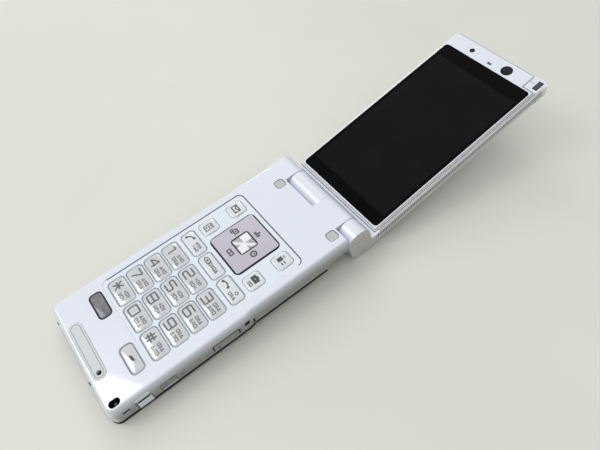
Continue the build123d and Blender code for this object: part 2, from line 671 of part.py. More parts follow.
def select_key():
    """Middle key of the navigation pad: its top rises in four shallow facets."""
    flange_top = PLATE_UNDER - SELECT_DROP
    flange_low = flange_top - FLANGE_THICK
    top = BASE_THICK + KEY_PROUD
    facet_low = top - FACET_RISE
    cap = slab(0, NAV_Y, SELECT_WIDTH, SELECT_HEIGHT, SELECT_R, flange_low, facet_low)
    cap += faceted_top(SELECT_WIDTH, SELECT_HEIGHT, SELECT_R, FACET_TIP, FACET_TIP, facet_low, top)
    cap += slab(0, NAV_Y, SELECT_WIDTH + 2 * SELECT_FLANGE, SELECT_HEIGHT + 2 * SELECT_FLANGE,
                SELECT_R + SELECT_FLANGE, flange_low, flange_top)
    return cap + rod_z(0, NAV_Y, DOME_TOP + KEY_TRAVEL + STEM_GAP, flange_low, STEM_R)


def lid_bumpers():
    bumpers = Part()
    for x, y in bumper_places():
        pad = slab(x, y, BUMPER_SIZE, BUMPER_SIZE, BUMPER_R,
                   BASE_THICK - BUMPER_DEPTH, BASE_THICK - BUMPER_SUNK)
        bumpers += fillet(pad.faces().sort_by(Axis.Z)[-1].edges(), KEY_EDGE)
    return bumpers


def microphone_pad():
    pad = slab(0, PAD_Y, PAD_LENGTH, PAD_HEIGHT, PAD_HEIGHT / 2 - SEAT_GAP, BASE_THICK - PAD_DEPTH,
               BASE_THICK + PAD_PROUD)
    return pad - rod_z(MIC_X, PAD_Y, PLATE_UNDER, BASE_THICK + 1, MIC_HOLE_R)


def microphone():
    return rod_z(MIC_X, PAD_Y, PLATE_UNDER - MIC_THICK, PLATE_UNDER, MIC_R)


def strap_post():
    post = rod_z(STRAP_X, STRAP_Y, STRAP_FLOOR, BASE_THICK - STRAP_POST_DROP, STRAP_POST_R)
    return fillet(post.faces().sort_by(Axis.Z)[-1].edges(), STRAP_POST_R / 2)


def main_board():
    half = BOARD_WIDTH / 2
    return block(-half, half, FRONT_Y + BOARD_FROM_FRONT, BAY_BACK_Y, BOARD_Z, BOARD_TOP)


def dome_sheet():
    """Thin sheet over the board, with a low round dome under every key."""
    half = BOARD_WIDTH / 2
    return block(-half, half, FRONT_Y + BOARD_FROM_FRONT, PLATE_BACK_Y, BOARD_TOP, DOME_TOP)


def charging_connector():
    wall_inside = RIGHT_X - SIDE_WALL
    back = wall_inside - SOCKET_DEPTH
    body = socket_box(SOCKET_LENGTH, SOCKET_HEIGHT, back, wall_inside)
    foot_z = SIDE_PORT_Z + SIDE_PORT_HEIGHT / 2 - SOCKET_HEIGHT / 2
    y = FRONT_Y + COVER_FLAP_FROM_FRONT
    half = SOCKET_LENGTH / 2
    body += block(back, wall_inside, y - half, y + half, FLOOR, foot_z)
    mouth_end = wall_inside - SOCKET_MOUTH_DEPTH
    return body - socket_box(SOCKET_MOUTH_LENGTH, SOCKET_MOUTH_HEIGHT, mouth_end, wall_inside)


def connector_cover():
    """Flap that lies in the right wall, round at the edge it turns on."""
    outside = RIGHT_X - FLAP_INSET
    flap = side_window(COVER_FLAP_FROM_FRONT, COVER_FLAP_LENGTH, outside - FLAP_THICK, outside)
    low_edges = flap.edges().filter_by(Axis.Y).group_by(Axis.Z)[0]
    return fillet(low_edges, FLAP_THICK / 2 - SEAT_GAP)


def charging_terminals():
    terminals = Part()
    for y in terminal_places():
        terminals += terminal(y)
    return terminals


def side_key():
    wall_inside = RIGHT_X - SIDE_WALL
    flange_out = wall_inside - FLANGE_GAP
    flange_in = flange_out - SIDE_KEY_FLANGE
    outside = RIGHT_X + SIDE_KEY_PROUD
    body = side_window(SIDE_KEY_FROM_FRONT, SIDE_KEY_LENGTH, flange_in, outside)
    slope = Pos(outside, FRONT_Y + SIDE_KEY_FROM_FRONT, SIDE_PORT_Z) * Rot(0, -SIDE_KEY_SLOPE, 0)
    body -= slope * block(0, SIDE_WALL, -SIDE_KEY_LENGTH, SIDE_KEY_LENGTH, 0, 2 * SIDE_PORT_HEIGHT)
    body = fillet(body.faces().sort_by(Axis.X)[-1].edges(), SIDE_KEY_EDGE)
    return body + side_window(SIDE_KEY_FROM_FRONT, SIDE_KEY_LENGTH, flange_in, flange_out, FLANGE)


def loudspeaker():
    y = FRONT_Y + SPEAKER_FROM_FRONT
    return slab(SPEAKER_X, y, SPEAKER_LENGTH, SPEAKER_HEIGHT, SPEAKER_R, FLOOR, FLOOR + SPEAKER_THICK)


def vibration_motor():
    start = FRONT_Y + MOTOR_FROM_FRONT
    z = FLOOR + MOTOR_GAP + MOTOR_R
    weight = MOTOR_LENGTH / 3
    can = rod_y(MOTOR_X, start + weight, start + MOTOR_LENGTH, z, MOTOR_R)
    half_disc = rod_y(MOTOR_X, start, start + weight, z, MOTOR_R)
    upper_half = block(MOTOR_X - MOTOR_R, MOTOR_X + MOTOR_R, start, start + weight, z, z + MOTOR_R)
    return can + (half_disc & upper_half)


def antenna():
    wall = FRONT_Y + SIDE_WALL
    half = ANTENNA_LENGTH / 2
    return block(-half, half, wall, wall + ANTENNA_THICK, FLOOR, FLOOR + ANTENNA_HEIGHT)


def rear_camera():
    inside = RAISED_Z + FLOOR
    size = REAR_CAMERA_BODY
    body = slab(0, REAR_CAMERA_Y, size, size, LID_EDGE_R / 2, inside, inside + REAR_CAMERA_HEIGHT)
    return body + rod_z(0, REAR_CAMERA_Y, RAISED_Z + SEAT_GAP, inside, REAR_CAMERA_R)


def case_screws():
    screws = Part()
    for x, y, underside in screw_places():
        seat = underside + SCREW_SINK
        tip = PLATE_UNDER - SCREW_TIP_GAP - SCREW_GAP
        screws += rod_z(x, y, seat - SCREW_HEAD, seat, SCREW_HEAD_R) + rod_z(x, y, seat, tip, SCREW_R)
    return screws


def hinge_pin():
    return rod_x(EAR_END - HINGE_PIN_REACH, BARREL_START + HINGE_PIN_REACH, AXIS_Y, AXIS_Z, HINGE_PIN_R)


def hinge_click_unit():
    """Click hinge in the middle knuckle, with a stub shaft into each barrel."""
    unit = rod_x(KNUCKLE_START, KNUCKLE_END, AXIS_Y, AXIS_Z, CLICK_UNIT_R)
    left_end = BARREL_END - HINGE_PIN_REACH
    right_end = RIGHT_BARREL_START + HINGE_PIN_REACH
    return unit + rod_x(left_end, right_end, AXIS_Y, AXIS_Z, HINGE_PIN_R)


def side_pin_spans():
    """Ends of the two pins of the side hinge, past each lug of the display."""
    return [(v - LUG_GAP - SIDE_PIN_REACH, v + LUG_LENGTH + LUG_GAP + SIDE_PIN_REACH) for v in LUG_STARTS]


def side_pin_bores():
    bores = Part()
    for v0, v1 in side_pin_spans():
        bores += rod_y(SIDE_U, v0, v1, SIDE_W, SIDE_PIN_R + SEAT_GAP)
    return bores


def hinge_frame():
    """Cross piece behind the hinge with the two barrels, and a bore for the lower side pin."""
    frame = block(LEFT_X, RIGHT_X, -BARREL_R, STRIP_REACH, LID_BACK, LID_FRONT)
    for x0, x1 in BARREL_SPANS:
        frame += rod_x(x0, x1, 0, 0, BARREL_R)
        frame += block(x0, x1, -BARREL_R, BARREL_R, LID_FRONT, 0)
    heel = frame.edges().filter_by(Axis.X).group_by(Axis.Z)[0].sort_by(Axis.Y)[0]
    frame = fillet(heel, HEEL_R)
    reach = HINGE_PIN_REACH + BLIND_GAP
    bore = HINGE_PIN_R + RUNNING_GAP
    frame -= rod_x(BARREL_START, BARREL_START + reach, 0, 0, bore)
    frame -= rod_x(BARREL_END - reach, BARREL_END, 0, 0, bore)
    frame -= rod_x(RIGHT_BARREL_START, RIGHT_BARREL_START + reach, 0, 0, bore)
    return LID_POSE * (frame - side_pin_bores())


def far_corner():
    """What rounding takes off the lid's far right corner."""
    radius = FAR_CORNER_R
    corner = block(RIGHT_X - radius, RIGHT_X, LID_END - radius, LID_END, LID_BACK, LID_FRONT)
    return corner - rod_z(RIGHT_X - radius, LID_END - radius, LID_BACK, LID_FRONT, radius)


def side_bar():
    """Slim bar up the right edge, cut away at the back where the display's lugs reach the pins."""
    bar = block(BAR_U, RIGHT_X, STRIP_REACH, LID_END, LID_BACK + BAR_BACK_STEP, LID_FRONT)
    back_edges = bar.edges().filter_by(Axis.Y).group_by(Axis.Z)[0]
    bar = fillet(back_edges, LUG_R - SEAT_GAP - RUNNING_GAP)
    bar = fillet(bar.edges().filter_by(Axis.Y).group_by(Axis.Z)[-1].sort_by(Axis.X)[-1], KEY_EDGE)
    bar -= far_corner()
    for v in LUG_STARTS:
        bar -= block(BAR_U, RIGHT_X, v - LUG_GAP, v + LUG_LENGTH + LUG_GAP,
                     LID_BACK, SIDE_W + LUG_R + BAR_SEAM)
    return LID_POSE * (bar - side_pin_bores())


def corner_post():
    """Block that closes the bar's far end, with a seat for the bright cap."""
    post = block(POST_U, BAR_U, POST_V, LID_END, LID_BACK, LID_FRONT)
    post = fillet(post.edges().filter_by(Axis.Z).group_by(Axis.X)[0], KEY_EDGE)
    post -= block(BAR_U - CAP_WIDTH, BAR_U, POST_V + CAP_MARGIN, LID_END - CAP_MARGIN,
                  LID_FRONT - CAP_DEPTH, LID_FRONT)
    return LID_POSE * (post - far_corner())


def pivot_cap():
    """Bright rounded cap seated in the corner post, beside the bar."""
    cap = block(BAR_U - CAP_WIDTH + CAP_GAP, BAR_U - CAP_GAP, POST_V + CAP_MARGIN + CAP_GAP,
                LID_END - CAP_MARGIN - CAP_GAP, LID_FRONT - CAP_DEPTH, LID_FRONT)
    front_edges = cap.edges().filter_by(Axis.Y).group_by(Axis.Z)[-1]
    return LID_POSE * fillet(front_edges, CAP_WIDTH / 3)


def side_pivot_pins():
    pins = Part()
    for v0, v1 in side_pin_spans():
        pins += rod_y(SIDE_U, v0, v1, SIDE_W, SIDE_PIN_R)
    return LID_POSE * pins


def display_plan(inset=0.0):
    """Outline of the display unit, notched at its upper right for the corner post."""
    left = LEFT_X + inset
    right = DISPLAY_U - inset
    low = DISPLAY_V + inset
    high = LID_END - inset
    notch_u = NOTCH_U - inset
    notch_v = NOTCH_V - inset
    corners = [(left, low), (right, low), (right, notch_v), (notch_u, notch_v), (notch_u, high), (left, high)]
    face = make_face(Polyline(*corners, close=True))
    return fillet(face.vertices().group_by(Axis.X)[0], LID_CORNER_R - inset)


def display_rear_cover():
    cover = extrude(Pos(0, 0, LID_BACK) * display_plan(), LID_THICK - BEZEL_DEPTH)
    cover = fillet(cover.faces().sort_by(Axis.Z)[0].edges(), LID_EDGE_R)
    cover -= extrude(Pos(0, 0, LID_INNER_FLOOR) * display_plan(LID_WALL), BEZEL_SEAM - LID_INNER_FLOOR)
    for v in LUG_STARTS:
        cover += rod_y(SIDE_U, v, v + LUG_LENGTH, SIDE_W, LUG_R)
        cover += block(DISPLAY_U - LID_WALL, SIDE_U, v, v + LUG_LENGTH, SIDE_W - LUG_R, SIDE_W + LUG_R)
        cover -= rod_y(SIDE_U, v, v + LUG_LENGTH, SIDE_W, SIDE_PIN_R + RUNNING_GAP)
    return LID_POSE * cover


def display_bezel():
    bezel = extrude(Pos(0, 0, BEZEL_SEAM) * display_plan(), BEZEL_DEPTH)
    bezel = fillet(bezel.faces().sort_by(Axis.Z)[-1].edges(), KEY_EDGE)
    bezel -= slab(WINDOW_U, WINDOW_V, WINDOW_WIDTH + 2 * WINDOW_GAP, WINDOW_LENGTH + 2 * WINDOW_GAP,
                  WINDOW_R + WINDOW_GAP, WINDOW_BACK, LID_FRONT)
    bezel -= slab(WINDOW_U, PANEL_V, PANEL_WIDTH + 2 * PANEL_GAP, PANEL_LENGTH + 2 * PANEL_GAP, LID_EDGE_R,
                  BEZEL_SEAM, LID_FRONT)
    pocket_low = WINDOW_V0 + WINDOW_LENGTH + POCKET_WALL
    bezel -= block(LEFT_X + LID_WALL, NOTCH_U - LID_WALL, pocket_low, LID_END - LID_WALL,
                   BEZEL_SEAM, DEVICE_TOP)
    bezel -= rod_z(CAMERA_U, DEVICE_V, BEZEL_SEAM, LID_FRONT, CAMERA_R + DEVICE_GAP)
    bezel -= rod_z(SENSOR_U, DEVICE_V, BEZEL_SEAM, LID_FRONT, SENSOR_R + DEVICE_GAP)
    bezel -= slab(EARPIECE_U, DEVICE_V - EARPIECE_SLOT_HEIGHT, EARPIECE_SLOT, EARPIECE_SLOT_HEIGHT,
                  EARPIECE_SLOT_HEIGHT / 2 - SEAT_GAP, DEVICE_TOP, LID_FRONT)
    return LID_POSE * bezel


def display_window():
    return LID_POSE * slab(WINDOW_U, WINDOW_V, WINDOW_WIDTH, WINDOW_LENGTH, WINDOW_R, WINDOW_BACK,
                           WINDOW_BACK + WINDOW_THICK)


def lcd_panel():
    return LID_POSE * slab(WINDOW_U, PANEL_V, PANEL_WIDTH, PANEL_LENGTH, LID_EDGE_R / 2,
                           PANEL_TOP - PANEL_THICK, PANEL_TOP)


def display_board():
    top = PANEL_TOP - PANEL_THICK - PANEL_GAP
    return LID_POSE * slab(WINDOW_U, PANEL_V, PANEL_WIDTH - 2 * LID_WALL, PANEL_LENGTH, LID_EDGE_R,
                           top - LID_BOARD_THICK, top)


def inner_camera():
    shoulder = DEVICE_TOP - DEVICE_GAP
    body = slab(CAMERA_U, DEVICE_V, CAMERA_BODY, CAMERA_BODY, LID_EDGE_R, LID_INNER_FLOOR, shoulder)
    return LID_POSE * (body + rod_z(CAMERA_U, DEVICE_V, shoulder, LID_FRONT - DEVICE_GAP, CAMERA_R))


def earpiece():
    return LID_POSE * slab(EARPIECE_U, DEVICE_V, EARPIECE_LENGTH, EARPIECE_HEIGHT, LID_EDGE_R,
                           DEVICE_TOP - EARPIECE_THICK, DEVICE_TOP)


def light_sensor():
    body = slab(SENSOR_U, DEVICE_V, SENSOR_BODY, SENSOR_BODY, LID_EDGE_R / 2, BEZEL_SEAM, DEVICE_TOP)
    return LID_POSE * (body + rod_z(SENSOR_U, DEVICE_V, DEVICE_TOP, LID_FRONT - DEVICE_GAP, SENSOR_R))


PIECES = [base_top_cover, base_bottom_cover, battery_cover, battery_pack, battery_contacts,
          keypad_plate, navigation_ring, navigation_actuator, select_key, lid_bumpers, microphone_pad,
          microphone, strap_post, main_board, dome_sheet, charging_connector, connector_cover,
          charging_terminals, side_key, loudspeaker, vibration_motor, antenna, rear_camera, case_screws,
          hinge_pin, hinge_click_unit, hinge_frame, side_bar, corner_post, pivot_cap, side_pivot_pins,
          display_rear_cover, display_bezel, display_window, lcd_panel, display_board, inner_camera,
          earpiece, light_sensor]

os.makedirs("parts", exist_ok=True)
for piece in PIECES:
    export_step(piece(), "parts/" + piece.__name__ + ".step")
for name, x, y, width, height in plate_keys() + lower_keys():
    export_step(key(x, y, width, height), "parts/" + name + ".step")
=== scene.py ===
import json
import math

import bmesh
import bpy
from mathutils import Matrix, Vector


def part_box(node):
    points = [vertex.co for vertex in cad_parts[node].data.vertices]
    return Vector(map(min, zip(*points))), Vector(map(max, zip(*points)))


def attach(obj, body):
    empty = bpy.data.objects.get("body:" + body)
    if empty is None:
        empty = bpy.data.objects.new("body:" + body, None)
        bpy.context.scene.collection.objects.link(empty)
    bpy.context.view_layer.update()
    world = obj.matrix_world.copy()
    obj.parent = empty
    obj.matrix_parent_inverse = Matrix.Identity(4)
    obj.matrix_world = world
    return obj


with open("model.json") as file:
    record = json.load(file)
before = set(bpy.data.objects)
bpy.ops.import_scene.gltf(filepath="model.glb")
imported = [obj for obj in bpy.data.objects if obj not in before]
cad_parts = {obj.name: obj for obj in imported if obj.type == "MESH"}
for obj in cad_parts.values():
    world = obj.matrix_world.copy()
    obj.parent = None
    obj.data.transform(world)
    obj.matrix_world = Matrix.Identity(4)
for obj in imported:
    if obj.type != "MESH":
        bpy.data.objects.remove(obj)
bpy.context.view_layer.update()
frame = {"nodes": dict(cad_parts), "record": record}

# Lengths are in millimetres, turned into metres where a vertex is made.
MM = 0.001

# The lid at rest: hinge line, lean, its own frame (across, along, out) and its front.
AXIS_Y = 50.45
AXIS_Z = 5.3
LID_LEAN = math.radians(10.4)
LID = Matrix.Translation((0, AXIS_Y, AXIS_Z)) @ Matrix.Rotation(LID_LEAN, 4, "X")
LID_FRONT = -5.8

# The base: keypad face, keypad plate, right wall and front wall.
BASE_TOP = 10.6
PLATE_TOP = 10.45
RIGHT_X = 25.0
FRONT_Y = -55.75

# Keys: middle of the navigation pad, and the two radii of a number key's pillow top.
NAV_Y = 15.11
KEY_CROWN_R = 16.0
KEY_BOW_R = 60.0

# Drawn lines: height over the surface, height of the finest, longest distance between points,
# and the least cosine by which a bend lengthens a line's section.
INK_LIFT = 0.015
FINE_LIFT = 0.012
STEP = 0.4
BEND_LIMIT = 0.6


# ---------------------------------------------------------------- materials

def srgb(red, green, blue):
    """Linear colour of an 8-bit screen colour."""
    values = []
    for value in (red, green, blue):
        share = value / 255
        low = share / 12.92
        high = ((share + 0.055) / 1.055) ** 2.4
        values.append(low if share <= 0.04045 else high)
    return (*values, 1.0)


# Every finish by its name.
FINISHES = {}


class Finish:
    """A Principled material with colour, roughness and relief from procedural textures."""

    def __init__(self, name, **constants):
        material = bpy.data.materials.new(name)
        material.use_nodes = True
        FINISHES[name] = material
        self.tree = material.node_tree
        self.shader = self.tree.nodes["Principled BSDF"]
        self.place = self.tree.nodes.new("ShaderNodeTexCoord")
        for socket, value in constants.items():
            self.shader.inputs[socket.replace("_", " ")].default_value = value

    def link(self, source, target):
        self.tree.links.new(source, target)

    def coordinates(self, stretch):
        mapping = self.tree.nodes.new("ShaderNodeMapping")
        mapping.inputs["Scale"].default_value = stretch
        self.link(self.place.outputs["Object"], mapping.inputs["Vector"])
        return mapping.outputs["Vector"]

    def noise(self, scale, detail=2.0, stretch=(1, 1, 1)):
        texture = self.tree.nodes.new("ShaderNodeTexNoise")
        texture.inputs["Scale"].default_value = scale
        texture.inputs["Detail"].default_value = detail
        self.link(self.coordinates(stretch), texture.inputs["Vector"])
        return texture.outputs["Fac"]

    def flakes(self, scale):
        texture = self.tree.nodes.new("ShaderNodeTexVoronoi")
        texture.inputs["Scale"].default_value = scale
        self.link(self.coordinates((1, 1, 1)), texture.inputs["Vector"])
        split = self.tree.nodes.new("ShaderNodeSeparateColor")
        self.link(texture.outputs["Color"], split.inputs["Color"])
        return split.outputs["Red"]

    def ramp(self, source, low, high, start=0.3, end=0.7):
        ramp = self.tree.nodes.new("ShaderNodeValToRGB")
        ramp.color_ramp.elements[0].position = start
        ramp.color_ramp.elements[0].color = srgb(*low)
        ramp.color_ramp.elements[1].position = end
        ramp.color_ramp.elements[1].color = srgb(*high)
        self.link(source, ramp.inputs["Fac"])
        return ramp.outputs["Color"]

    def mix(self, factor, first, second):
        mix = self.tree.nodes.new("ShaderNodeMix")
        mix.data_type = "RGBA"
        self.link(factor, mix.inputs["Factor"])
        self.link(first, mix.inputs["A"])
        self.link(second, mix.inputs["B"])
        return mix.outputs["Result"]

    def spread(self, source, low, high, start=0.3, end=0.7):
        mapped = self.tree.nodes.new("ShaderNodeMapRange")
        mapped.inputs["From Min"].default_value = start
        mapped.inputs["From Max"].default_value = end
        mapped.inputs["To Min"].default_value = low
        mapped.inputs["To Max"].default_value = high
        self.link(source, mapped.inputs["Value"])
        return mapped.outputs["Result"]

    def colour(self, source):
        self.link(source, self.shader.inputs["Base Color"])

    def roughness(self, source, low, high, start=0.3, end=0.7):
        self.link(self.spread(source, low, high, start, end), self.shader.inputs["Roughness"])

    def relief(self, source, strength, depth):
        bump = self.tree.nodes.new("ShaderNodeBump")
        bump.inputs["Strength"].default_value = strength
        bump.inputs["Distance"].default_value = depth * MM
        self.link(source, bump.inputs["Height"])
        self.link(bump.outputs["Normal"], self.shader.inputs["Normal"])

    def lid_coordinates(self):
        """Place in the lid's own frame: across, along and out of it."""
        mapping = self.tree.nodes.new("ShaderNodeMapping")
        mapping.vector_type = "TEXTURE"
        mapping.inputs["Location"].default_value = (0, AXIS_Y * MM, AXIS_Z * MM)
        mapping.inputs["Rotation"].default_value = (LID_LEAN, 0, 0)
        self.link(self.place.outputs["Object"], mapping.inputs["Vector"])
        return mapping.outputs["Vector"]

    def maths(self, operation, first, second=0.0):
        """A value, or two put together; the second one may be a plain number."""
        node = self.tree.nodes.new("ShaderNodeMath")
        node.operation = operation
        self.link(first, node.inputs[0])
        if isinstance(second, float):
            node.inputs[1].default_value = second
        else:
            self.link(second, node.inputs[1])
        return node.outputs["Value"]

    def axes(self, source):
        split = self.tree.nodes.new("ShaderNodeSeparateXYZ")
        self.link(source, split.inputs["Vector"])
        return split.outputs["X"], split.outputs["Y"], split.outputs["Z"]

    def between(self, source, low, high, soft=0.1):
        """1 from low to high, 0 outside, with a soft edge."""
        half = (high - low) / 2 * MM
        middle_value = (low + high) / 2 * MM
        distance = self.maths("ABSOLUTE", self.maths("SUBTRACT", source, middle_value))
        return self.spread(distance, 1, 0, half - soft * MM, half + soft * MM)

    def capped(self, wall, face, start, end):
        """One colour on the walls and another where the surface looks up from its own body."""
        upward = self.axes(self.place.outputs["Normal"])[2]
        return self.mix(self.spread(upward, 0, 1, start, end), wall, face)


def pearl_white(name, gloss, sides=None, fade=None):
    """Pearl lacquer; its side faces may take a grey of painted shade, fading out between two
    heights.
    """
    finish = Finish(name, Coat_Weight=1.0, Coat_Roughness=gloss, Coat_IOR=1.9)
    flake = finish.ramp(finish.flakes(7000), (218, 224, 237), (222, 228, 240), 0.1, 0.9)
    drift = finish.ramp(finish.noise(40), (216, 221, 236), (222, 230, 242))
    lacquer = finish.mix(finish.noise(2500), flake, drift)
    if sides:
        # Painted shade: side faces take the darker colour; with a fade, less of it higher up.
        side_shade = finish.ramp(finish.noise(350, 3), *sides)
        sideways = finish.maths("ABSOLUTE", finish.axes(finish.place.outputs["Normal"])[0])
        share = finish.spread(sideways, 0, 1, 0.8, 0.97)
        if fade:
            height = finish.axes(finish.place.outputs["Object"])[2]
            fading = finish.spread(height, 1, 0, fade[0] * MM, fade[1] * MM)
            share = finish.maths("MULTIPLY", share, fading)
        lacquer = finish.mix(share, lacquer, side_shade)
    finish.colour(lacquer)
    finish.roughness(finish.noise(60), 0.274, 0.286, 0, 1)
    finish.relief(finish.noise(1100), 0.03, 0.02)


def textured(name, low, high, grain, rough, relief=None, **constants):
    """Two shades of a noise; rough is (noise, low, high), relief is (noise, strength, depth)."""
    finish = Finish(name, **constants)
    finish.colour(finish.ramp(finish.noise(*grain), low, high))
    finish.roughness(finish.noise(*rough[0]), *rough[1:])
    if relief:
        finish.relief(finish.noise(*relief[0]), *relief[1:])


def rubber(name, low, high):
    textured(name, low, high, (2600, 4), ((900, 3), 0.55, 0.72), ((5200, 3), 0.18, 0.02))


def plated(name, low, high, rough):
    textured(name, low, high, (1500, 3, (1, 0.2, 1)), ((1200, 3), rough, rough + 0.12),
             ((3000, 2, (1, 0.15, 1)), 0.06, 0.01), Metallic=1.0)


def ink(name, low, high):
    """Printed mark: speckled, a little duller than the lacquer it sits on."""
    textured(name, low, high, (6000, 3), ((2500, 3), 0.38, 0.52),
             Coat_Weight=0.5, Coat_Roughness=0.12)


def frosted(name, face, edge, grain, gloss):
    """Frosted face with walls in another colour, on the pale keys a painted sheen; gloss is its
    coat's IOR.
    """
    finish = Finish(name, Coat_Weight=1.0, Coat_Roughness=0.05, Coat_IOR=gloss)
    top = finish.ramp(finish.noise(grain, 3), *face)
    wall = finish.ramp(finish.noise(1500), *edge)
    finish.colour(finish.capped(wall, top, 0.8, 0.985))
    finish.roughness(finish.noise(3000, 3), 0.3, 0.42)
    finish.relief(finish.noise(6000), 0.05, 0.01)


# Half widths of the painted faces: the navigation pad's, and the select key's across and along.
PAD_FACE = 9.55
SELECT_FACE_X = 3.5
SELECT_FACE_Y = 3.4


def mauve_silver():
    finish = Finish("mauve_silver", Metallic=0.35, Coat_Weight=0.3, Coat_Roughness=0.2)
    face = finish.ramp(finish.flakes(9000), (178, 175, 186), (194, 191, 202), 0.1, 0.9)
    # Painted shade: the pad's walls, and its edge beyond the face, are near black.
    wall = finish.ramp(finish.noise(1500), (22, 21, 25), (32, 31, 36))
    x, y, _ = finish.axes(finish.coordinates((1, 1, 1)))
    inner = finish.mix(finish.between(x, -PAD_FACE, PAD_FACE), wall, face)
    inner = finish.mix(finish.between(y, NAV_Y - PAD_FACE, NAV_Y + PAD_FACE), wall, inner)
    finish.colour(finish.capped(wall, inner, 0.5, 0.9))
    finish.roughness(finish.noise(2500, 3), 0.34, 0.46)
    finish.relief(finish.noise(7000), 0.06, 0.01)


def quartered():
    """Key face in quarters, polished and brushed by turns, painted as lit and shaded; dark walls.
    """
    finish = Finish("quartered", Metallic=0.25, Coat_Weight=0.6, Coat_Roughness=0.06)
    x, y, _ = finish.axes(finish.coordinates((1, 1, 1)))
    y = finish.maths("SUBTRACT", y, NAV_Y * MM)
    # Painted light: polished quarters pale as if lit, brushed ones darker as if shaded.
    polished = finish.ramp(finish.noise(900, 3), (230, 230, 233), (240, 240, 242))
    grain = finish.noise(3000, 3, (1, 0.08, 1))
    brushed = finish.ramp(grain, (138, 139, 145), (182, 183, 188))
    # Painted highlight: a pale streak across the brushed quarters.
    streak_highlight = finish.between(finish.maths("SUBTRACT", x, y), -0.2, 1.6, 0.7)
    border = 0.05 * MM * MM
    quarter = finish.spread(finish.maths("MULTIPLY", x, y), 0, 1, -border, border)
    face = finish.mix(quarter, polished, finish.mix(streak_highlight, brushed, polished))
    # Painted shade: near-black walls.
    wall = finish.ramp(finish.noise(1500), (14, 14, 16), (22, 22, 25))
    inner = finish.mix(finish.between(x, -SELECT_FACE_X, SELECT_FACE_X), wall, face)
    inner = finish.mix(finish.between(y, -SELECT_FACE_Y, SELECT_FACE_Y), wall, inner)
    finish.colour(finish.capped(wall, inner, 0.5, 0.9))
    finish.roughness(finish.noise(2200, 4), 0.24, 0.34)
    finish.relief(finish.noise(4000), 0.03, 0.005)


# The display's picture area in the lid's own frame.
PICTURE_ACROSS = (-22.3, 20.8)
PICTURE_ALONG = (15.1, 88.7)


def window_black():
    """Black edged glass: the picture area shows as a slightly paler field."""
    finish = Finish("window_black", Specular_IOR_Level=0.05)
    border = finish.ramp(finish.noise(60, 3), (1, 1, 2), (4, 4, 4))
    field = finish.ramp(finish.noise(60, 3), (15, 17, 16), (20, 22, 21))
    u, v, _ = finish.axes(finish.lid_coordinates())
    inside = finish.between(u, *PICTURE_ACROSS)
    along = finish.between(v, *PICTURE_ALONG)
    finish.colour(finish.mix(along, border, finish.mix(inside, border, field)))
    finish.roughness(finish.noise(45, 4), 0.03, 0.07)


def board_green():
    finish = Finish("board_green", Coat_Weight=0.3, Coat_Roughness=0.25)
    tracks = finish.tree.nodes.new("ShaderNodeTexBrick")
    tracks.inputs["Scale"].default_value = 300
    tracks.inputs["Mortar Size"].default_value = 0.05
    tracks.inputs["Color1"].default_value = srgb(24, 92, 58)
    tracks.inputs["Color2"].default_value = srgb(30, 104, 66)
    tracks.inputs["Mortar"].default_value = srgb(52, 132, 84)
    finish.link(finish.coordinates((1, 1, 1)), tracks.inputs["Vector"])
    finish.colour(tracks.outputs["Color"])
    finish.roughness(finish.noise(700, 3), 0.35, 0.5)
    finish.relief(tracks.outputs["Fac"], 0.2, 0.03)


# Shades as (darkest, palest): the hinge's grey sides are painted shade, the walls' silver is
# partly painted shade, and the frost keys' pale edges are a painted sheen; the heights between
# which the walls' silver turns to pearl, darker towards the foot; and the noise of brushed metal.
HINGE_SIDE_SHADE = ((180, 179, 174), (188, 187, 182))
WALL_SILVER_SHADE = ((133, 135, 135), (141, 143, 143))
WALL_SHADE_FADE = (4.5, 10.4)
FROST = ((187, 192, 195), (197, 201, 204))
PALE_FROST = ((207, 214, 218), (216, 222, 226))
FROST_EDGE_SHEEN = ((228, 232, 236), (238, 240, 243))
GREY_FACE = ((72, 75, 80), (116, 118, 126))
GREY_EDGE = ((70, 72, 78), (84, 86, 92))
BRUSHED = (2500, 3, (1, 0.05, 1))

pearl_white("pearl_white", 0.05)
# Painted shade: the hinge frame's side faces, its end face among them, are greyed.
pearl_white("pearl_shaded_sides", 0.3, HINGE_SIDE_SHADE)
# Painted shade, in part: the base's walls go silver-grey, darkest towards the foot.
pearl_white("pearl_silver_shaded_sides", 0.05, WALL_SILVER_SHADE, WALL_SHADE_FADE)
# Painted sheen: pale walls on the frosted keys.
frosted("key_frost", FROST, FROST_EDGE_SHEEN, 5000, 2.0)
frosted("key_pale", PALE_FROST, FROST_EDGE_SHEEN, 5000, 2.0)
frosted("key_grey", GREY_FACE, GREY_EDGE, 420, 1.5)
quartered()
mauve_silver()
window_black()
board_green()
rubber("soft_grey", (203, 210, 208), (213, 219, 217))
rubber("bumper_grey", (180, 188, 186), (192, 199, 197))
rubber("groove_painted_shade", (136, 138, 139), (148, 150, 151))
rubber("cover_grey", (150, 152, 149), (163, 165, 162))
rubber("shade_grey", (150, 156, 164), (164, 170, 178))
rubber("soft_white", (224, 226, 234), (233, 235, 242))
plated("dark_chrome", (62, 66, 69), (86, 90, 93), 0.34)
plated("terminal_grey", (150, 153, 154), (170, 173, 174), 0.4)
plated("contact_gold", (214, 178, 98), (232, 200, 124), 0.2)
plated("steel", (190, 191, 194), (212, 213, 216), 0.22)
ink("ink_black", (48, 48, 52), (62, 62, 66))
ink("ink_dark", (80, 82, 84), (96, 98, 100))
ink("ink_pale", (88, 90, 92), (106, 108, 110))
textured("keypad_white", (216, 226, 237), (226, 234, 243), (1800, 3), ((250, 4), 0.28, 0.4),
         ((1500,), 0.05, 0.02), Coat_Weight=0.8, Coat_Roughness=0.08, Coat_IOR=1.7)
